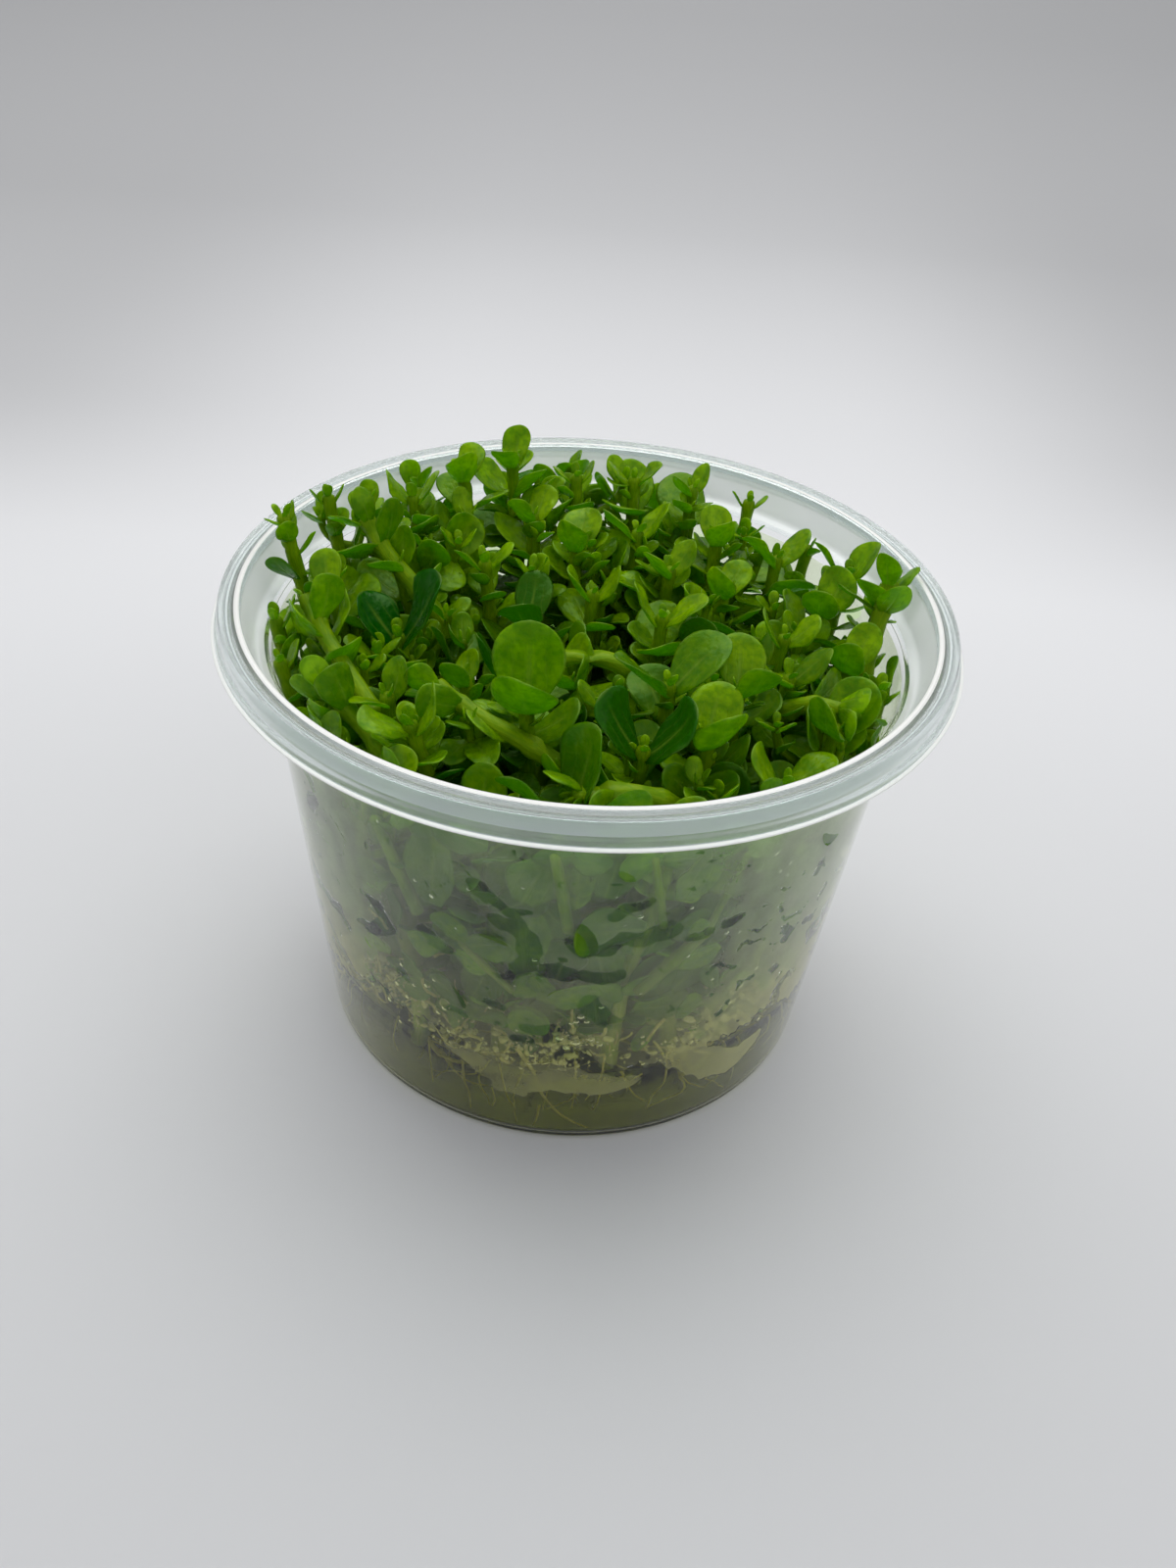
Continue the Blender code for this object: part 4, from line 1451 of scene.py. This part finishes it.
# Long stems that lie over in the leaves: the sprig, and four points that shape each curve
runnerRows = (
    (32, ((-19, -26, 46), (-23, -22, 60), (-32, -15, 61.5), (-38, -4, 66.5))),
    (36, ((4, -22, 48), (-2, -25.5, 60.5), (-12, -21.5, 59.5), (-19, -16.5, 62.5))),
    (50, ((11, -4, 50), (8.5, -4, 61), (1, -4.5, 62), (-4, -4.5, 60))),
    (6, ((-19, 6, 52), (-22, 7, 62.5), (-29, 9, 64), (-33, 14, 69.5))),
    (38, ((18, -29, 48), (14, -30, 59.5), (5, -32.5, 60.5), (0, -33.5, 59.5))),
    (46, ((-21, -27, 48), (-23, -26, 58.5), (-28, -23, 61), (-33, -19, 62))),
    (44, ((23, -11, 50), (25, -11.5, 61.5), (30, -13.5, 62.5), (34, -15, 62.5))),
    (21, ((37.5, -2, 44), (38, 0, 56), (40, 4, 64), (41.5, 8, 69))),
)
runnerSettings = dict(
    radius=1.45,
    tipRadius=1.05,
    drops=(0.6, 4.2),
    tilts=(40.0, 62.0),
    lengths=(5.0, 6.5),
    clearance=0.0,
    turns=(0, 30, -30, 60, -60),
    tips=(0, -18, 18, 34),
    shrinks=(1.0, 0.8, 0.62),
)


def growRunners(standing):
    s = runnerSettings
    runners = []
    for number, ends in runnerRows:
        stem = StemLine([Vector(p) for p in ends], 20.0 * number, s["radius"], s["tipRadius"])
        for k in range(8):
            standing.add([stemRing(stem, k / 8, 6), stemRing(stem, (k + 1) / 8, 6)], 900 + number)
        grown = []
        for pair, (drop, tilt) in enumerate(zip(s["drops"], s["tilts"])):
            for side in (0, 1):
                angle = math.pi / 2 * pair + math.pi * side
                leaf = fitLeaf(standing, 900 + number, stem, drop, angle, tilt, s["lengths"][pair], s)
                if leaf:
                    leaf.young = 0.3
                    grown.append(leaf)
                    standing.add(leaf.rings())
        runners.append((number - 1, stem, grown))
    return runners


# Pale stems that show through the wall: their ends as (arc, height), and the radius
wallStemRows = (
    ((-26.5, 54.0), (-20.1, 40.4), 0.85),
    ((-13.6, 38.0), (-6.4, 31.0), 0.50),
    ((-1.8, 57.0), (0.4, 44.0), 0.80),
    ((10.2, 57.0), (12.4, 44.5), 0.62),
    ((22.6, 54.5), (18.6, 41.5), 0.55),
    ((18.8, 41.6), (10.2, 31.6), 0.95),
    ((32.0, 52.0), (28.0, 30.0), 0.80),
    ((-34.0, 50.0), (-30.5, 33.0), 0.70),
)


def wallStems():
    stems = []
    for start, end, radius in wallStemRows:
        places = [(start[0] + (end[0] - start[0]) * k / 3, start[1] + (end[1] - start[1]) * k / 3) for k in range(4)]
        ends = [onWall(arc, z, radius + 0.4) for arc, z in reversed(places)]
        stems.append(StemLine(ends, 0.0, radius, radius * 0.9))
    return stems


# A leaf's fine surface: rings across it, from the neck to the round end

def leafGrid(stations, corners):
    along = np.array(stations)
    angle = 2 * math.pi * np.arange(corners) / corners
    across = np.sign(np.cos(angle)) * np.abs(np.cos(angle)) ** 0.75
    deep = np.sign(np.sin(angle)) * np.abs(np.sin(angle)) ** 0.8
    points = len(along) * corners
    faces = []
    for k in range(len(along) - 1):
        for i in range(corners):
            j = (i + 1) % corners
            faces.append((k * corners + i, k * corners + j, (k + 1) * corners + j, (k + 1) * corners + i))
    for i in range(corners):
        j = (i + 1) % corners
        faces.append((points, j, i))
        last = (len(along) - 1) * corners
        faces.append((last + i, last + j, points + 1))
    return along, across, deep, faces


bigLeaf = leafGrid((0.0, 0.05, 0.12, 0.2, 0.3, 0.41, 0.52, 0.63, 0.74, 0.83, 0.9, 0.955, 0.988), 12)
smallLeaf = leafGrid((0.0, 0.1, 0.22, 0.38, 0.55, 0.7, 0.84, 0.94, 0.985), 8)


def leafOutline(along, widest, neck):
    # half width as a share: a narrow neck that opens out, then a round end
    grown = np.clip(along / widest, 0.0, 1.0)
    swell = neck + (1.0 - neck) * np.sin(0.5 * math.pi * grown) ** 1.15
    rest = np.clip((along - widest) / (1.0 - widest), 0.0, 1.0)
    return np.where(along < widest, swell, np.sqrt(np.maximum(1.0 - rest ** 2.2, 0.0)))


def leafMesh(leaf, draw):
    along, across, deep, faces = bigLeaf if leaf.length > 3.4 else smallLeaf
    length = leaf.length
    broad = min(max((length - 2.5) / 4.5, 0.0), 1.0)
    width = length * (draw.uniform(0.52, 0.72) * (1.0 - broad) + draw.uniform(0.68, 0.94) * broad) / 2
    thick = min(0.75, 0.32 + 0.045 * length) / 2
    cup = draw.uniform(-0.18, 0.42) * width
    curl = draw.uniform(-0.30, 0.18) * length
    twist = draw.uniform(-0.55, 0.55)
    ruffle, phase = draw.uniform(0.0, 0.05) * length, draw.uniform(0.0, 6.0)
    skew = draw.uniform(-0.08, 0.08) * length
    outline = leafOutline(along, draw.uniform(0.50, 0.62), draw.uniform(0.32, 0.46))
    u = along[:, None] + 0.0 * across[None, :]
    x = outline[:, None] * across[None, :]
    body = thick * (1.0 - 0.35 * u) * np.sqrt(np.clip(outline, 0.15, 1.0))[:, None] * deep[None, :]
    crease = 0.10 * thick * np.exp(-(x / 0.14) ** 2) * (1.0 - u)
    lift = -0.03 * length * np.sin(math.pi * np.clip(u / 0.9, 0, 1)) + (0.05 * length + curl) * u * u
    z = body - crease * (deep[None, :] > 0) + cup * x * x + lift + twist * width * x * u * u
    z = z + ruffle * x * x * np.sin(9.0 * u + phase + np.sign(x))
    side = width * x + skew * u * u
    reach = (u - 0.05) * length
    ends = np.array([
        [side[0].mean(), z[0].mean(), reach[0, 0] - 0.01 * length],
        [side[-1].mean(), z[-1].mean(), 0.955 * length],
    ])
    grid = np.stack([side.ravel(), z.ravel(), reach.ravel()], 1)
    grid = np.vstack([grid, ends])
    frameOf = np.array([leaf.across, leaf.up, leaf.blade])
    points = grid @ frameOf + np.array(leaf.neck)
    blade = np.stack([x.ravel() * 0.5 + 0.5, u.ravel()], 1)
    blade = np.vstack([blade, [(0.5, 0.0), (0.5, 1.0)]])
    # painted light: leaves at the back are made lighter and yellower, for the light that shines through them
    back = min(max((leaf.neck.y - 2.0) / 26.0, 0.0), 1.0)  # the light shines through those at the back
    bright = 1.2 * draw.random() ** 1.2 - 0.06 * (length - 6.0) + 0.30 * back
    bright = min(max(getattr(leaf, "bright", bright), 0.0), 1.0)
    young = min(leaf.young * draw.uniform(0.5, 1.2) + 0.22 * back, 1.0)
    tone = np.tile([bright, young], (len(points), 1))
    return points, faces, blade, tone


def stemMesh(stem, start, joints, sides, rings, draw):
    # a tube with swollen joints and a rounded tip; start is a t under 0 for a sunk foot
    s = stemSettings
    stops = [start + (1.0 - start) * i / rings for i in range(rings + 1)]
    stops = sorted(stops + [j + d for j in joints for d in (-0.012, 0.012) if j + d < 1.0])
    phase = draw.uniform(0.0, 6.0)
    points, maps = [], []
    length = sum((stem.point(i / 10 + 0.1) - stem.point(i / 10)).length for i in range(10))
    for t in stops:
        middle = stem.point(max(t, 0.0))
        if t < 0.0:
            middle = middle + Vector((0.0, 0.0, t * length))
        swell = 1.0 + s["swell"] * sum(math.exp(-((t - j) * length / 0.9) ** 2) for j in joints)
        for i in range(sides):
            a = 2 * math.pi * i / sides
            flute = 1.0 + 0.03 * math.cos(5 * a + phase)
            off = stem.sideways(max(t, 0.0), a) * stem.radius(max(t, 0.0)) * swell * flute
            points.append(middle + off)
            maps.append((i / sides, max(t, 0.0) * length / 10.0))
    shrink, top = 0.55, stem.point(1.0)
    for i in range(sides):
        a = 2 * math.pi * i / sides
        points.append(top + stem.heading(1.0) * 0.35 + stem.sideways(1.0, a) * stem.radius(1.0) * shrink)
        maps.append((i / sides, length / 10.0))
    count = len(stops) + 1
    points += [stem.point(max(start, 0.0)) + Vector((0, 0, min(start, 0.0) * length - 0.2))]
    points += [top + stem.heading(1.0) * 0.5]
    maps += [(0.5, 0.0), (0.5, length / 10.0)]
    faces = []
    for k in range(count - 1):
        for i in range(sides):
            j = (i + 1) % sides
            faces.append((k * sides + i, k * sides + j, (k + 1) * sides + j, (k + 1) * sides + i))
    base = (count - 1) * sides
    for i in range(sides):
        j = (i + 1) % sides
        faces.append((count * sides, j, i))
        faces.append((base + i, base + j, count * sides + 1))
    heights = np.clip((np.array([p.z for p in points]) - gelTop) / 50.0, 0.0, 1.0)
    tone = np.stack([np.full(len(points), draw.random()), heights], 1)
    return np.array([tuple(p) for p in points]), faces, np.array(maps), tone


def leafLook():
    look, tree, out = newLook("leafGreen")
    where = place(tree)
    tone = put(tree, "SeparateXYZ", {0: put(tree, "UVMap", uv_map="tone").outputs[0]})
    blade = put(tree, "SeparateXYZ", {0: put(tree, "UVMap", uv_map="blade").outputs[0]})
    across = calc(tree, "MULTIPLY", calc(tree, "SUBTRACT", blade.outputs["X"], 0.5), 2.0)
    side = calc(tree, "ABSOLUTE", across)
    cloud = speckle(tree, where, 2.6, 2.0)
    grain = speckle(tree, where, 0.22, 2.0)
    mottle = remap(tree, speckle(tree, where, 0.8, 3.0), 0.42, 0.68, 0.0, 0.40)
    base = blendColour(tree, tone.outputs["X"], (0.001, 0.088, 0.000, 1.0), (0.335, 0.600, 0.000, 1.0))
    base = blendColour(tree, tone.outputs["Y"], base, (0.40, 0.62, 0.000, 1.0))
    base = blendColour(tree, remap(tree, cloud, 0.35, 0.7, 0.0, 0.5), base, (0.006, 0.115, 0.000, 1.0))
    base = blendColour(tree, mottle, base, (0.030, 0.190, 0.000, 1.0))
    wander = calc(tree, "MULTIPLY", calc(tree, "SUBTRACT", cloud, 0.5), 0.35)
    vein = calc(tree, "SINE", calc(tree, "MULTIPLY", calc(tree, "ADD", side, wander), 17.0))
    vein = remap(tree, vein, 0.80, 1.0)
    midrib = remap(tree, side, 0.10, 0.02)
    lines = calc(tree, "MAXIMUM", calc(tree, "MULTIPLY", vein, 0.35), midrib)
    lines = calc(tree, "MULTIPLY", lines, remap(tree, blade.outputs["Y"], 0.95, 0.4))
    base = blendColour(tree, calc(tree, "MULTIPLY", lines, 0.38), base, (0.30, 0.46, 0.04, 1.0))
    rim = calc(tree, "MAXIMUM", remap(tree, side, 0.90, 1.0), remap(tree, blade.outputs["Y"], 0.95, 1.0))
    base = blendColour(tree, calc(tree, "MULTIPLY", rim, 0.45), base, (0.30, 0.44, 0.07, 1.0))
    waves = calc(tree, "MULTIPLY", speckle(tree, where, 1.1, 1.0), 1.6)
    relief = calc(tree, "ADD", calc(tree, "MULTIPLY", grain, 0.30), waves)
    relief = calc(tree, "SUBTRACT", relief, calc(tree, "MULTIPLY", lines, 0.8))
    bump = put(tree, "Bump", {"Strength": 0.55, "Distance": 0.00013, "Height": relief}).outputs[0]
    shader = put(tree, "BsdfPrincipled", {
        "Base Color": base,
        "Roughness": remap(tree, cloud, 0.3, 0.7, 0.14, 0.32),
        "Specular IOR Level": 0.54,
        "Specular Tint": (0.48, 0.95, 0.28, 1.0),
        "Normal": bump,
    })
    glow = blendColour(tree, 0.36, base, (0.26, 0.85, 0.00, 1.0))
    behind = put(tree, "BsdfTranslucent", {"Color": glow, "Normal": bump}).outputs[0]
    mixed = put(tree, "MixShader", {0: 0.42, 1: shader.outputs[0], 2: behind}).outputs[0]
    through = letLampsThrough(tree, mixed, (0.10, 0.24, 0.0, 1.0))
    tree.links.new(through, out.inputs["Surface"])
    return look


def stemLook():
    look, tree, out = newLook("stemGreen")
    where = place(tree)
    tone = put(tree, "SeparateXYZ", {0: put(tree, "UVMap", uv_map="tone").outputs[0]})
    around = put(tree, "SeparateXYZ", {0: put(tree, "UVMap", uv_map="blade").outputs[0]})
    ring = calc(tree, "MULTIPLY", around.outputs["X"], 2 * math.pi)
    threads = put(tree, "CombineXYZ", {
        0: calc(tree, "COSINE", ring),
        1: calc(tree, "SINE", ring),
        2: calc(tree, "MULTIPLY", around.outputs["Y"], 0.9),
    })
    fibre = put(tree, "TexNoise", {"Vector": threads.outputs[0], "Scale": 7.0, "Detail": 3.0}).outputs[0]
    cloud = speckle(tree, where, 3.0, 2.0)
    high = remap(tree, tone.outputs["Y"], 0.25, 0.75)
    base = blendColour(tree, high, (0.50, 0.58, 0.18, 1.0), (0.20, 0.38, 0.000, 1.0))
    streak = remap(tree, fibre, 0.40, 0.60, 0.0, 0.65)
    base = blendColour(tree, streak, base, (0.32, 0.48, 0.004, 1.0))
    base = blendColour(tree, remap(tree, cloud, 0.4, 0.7, 0.0, 0.5), base, (0.06, 0.20, 0.00, 1.0))
    bump = put(tree, "Bump", {"Strength": 0.6, "Distance": 0.00015, "Height": fibre}).outputs[0]
    shader = put(tree, "BsdfPrincipled", {
        "Base Color": base,
        "Roughness": 0.34,
        "Specular IOR Level": 0.32,
        "Specular Tint": (0.6, 0.95, 0.3, 1.0),
        "Normal": bump,
    })
    behind = put(tree, "BsdfTranslucent", {"Color": base, "Normal": bump}).outputs[0]
    mixed = put(tree, "MixShader", {0: 0.30, 1: shader.outputs[0], 2: behind}).outputs[0]
    through = letLampsThrough(tree, mixed, (0.15, 0.25, 0.0, 1.0))
    tree.links.new(through, out.inputs["Surface"])
    return look


class Parts:
    # collects closed shapes that end up in one mesh

    def __init__(self):
        self.points, self.faces, self.blade, self.tone, self.look = [], [], [], [], []
        self.count = 0

    def add(self, made, look):
        points, faces, blade, tone = made
        self.points.append(points)
        self.faces += [tuple(i + self.count for i in face) for face in faces]
        self.blade.append(blade)
        self.tone.append(tone)
        self.look += [look] * len(faces)
        self.count += len(points)

    def finish(self, name, looks):
        maps = {"blade": np.vstack(self.blade), "tone": np.vstack(self.tone)}
        return makeMesh(name, np.vstack(self.points), self.faces, looks, self.look, maps)


def addBuds(parts, stem, draw):
    # the two smallest leaves, still folded together at a tip
    for side in (0, 1):
        angle = -math.pi / 2 + math.pi * side
        bud = Leaf(stem, 0.0, angle, draw.uniform(14, 26), draw.uniform(1.6, 2.6))
        bud.neck = stem.point(1.0) + bud.out * 0.35
        bud.young = 1.0
        parts.add(leafMesh(bud, draw), 0)


def addSprigs():
    stems = [mainStem(tip, foot, turn) for tip, foot, turn, _ in sprigRows]
    standing = Standing()
    tests = stemSettings["testLengths"]
    for owner, stem in enumerate(stems):
        for i in range(tests):
            standing.add([stemRing(stem, i / tests, 6), stemRing(stem, (i + 1) / tests, 6)], owner)
    leaves = growMainLeaves(stems, standing)
    print("main leaves", sum(len(group) for group in leaves))
    runners = growRunners(standing)
    growPressedLeaves(stems, standing, leaves)
    growExtraLeaves(stems, standing, leaves)
    print("with the lower leaves", sum(len(group) for group in leaves))
    s = shootSettings
    shoots = growShoots(stems, standing, canopyTip, s["canopyTries"], s["canopyMost"], s["seed"])
    print("shoots under the top", len(shoots))
    shoots += growShoots(stems, standing, wallTip, s["wallTries"], s["wallMost"], s["seed"] + 1)
    print("shoots in all", len(shoots))
    looks = [leafLook(), stemLook()]
    pale = [(min(range(len(stems)), key=lambda i: (stems[i].point(0.3).xy - line.ends[0].xy).length), line)
            for line in wallStems()]
    for owner, stem in enumerate(stems):
        draw = random.Random(100 + owner)
        parts = Parts()
        joints = sorted({leaf.share for leaf in leaves[owner] if isinstance(leaf, Leaf)})
        length = sum((stem.point(i / 10 + 0.1) - stem.point(i / 10)).length for i in range(10))
        start = -stemSettings["sink"] / length
        parts.add(stemMesh(stem, start, joints, stemSettings["sides"], stemSettings["rings"], draw), 1)
        addBuds(parts, stem, draw)
        for leaf in leaves[owner]:
            parts.add(leafMesh(leaf, draw), 0)
        for _, shoot, grown in (row for row in shoots if row[0] == owner):
            joints = sorted({leaf.share for leaf in grown})
            parts.add(stemMesh(shoot, 0.0, joints, 8, 10, draw), 1)
            addBuds(parts, shoot, draw)
            for leaf in grown:
                parts.add(leafMesh(leaf, draw), 0)
        for _, runner, grown in (row for row in runners if row[0] == owner):
            joints = sorted({0.45} | {leaf.share for leaf in grown})
            parts.add(stemMesh(runner, 0.0, joints, 16, 26, draw), 1)
            addBuds(parts, runner, draw)
            for leaf in grown:
                parts.add(leafMesh(leaf, draw), 0)
        for _, line in (row for row in pale if row[0] == owner):
            parts.add(stemMesh(line, 0.0, [0.5], 10, 12, draw), 1)
        name = f"sprig_{owner + 1:02d}"
        piece = parts.finish("fine_" + name, looks)
        standFor(piece, "leaf_green", name)


addSprigs()
addRoots([foot for _, foot, _, _ in sprigRows])
print("the sprigs are up")
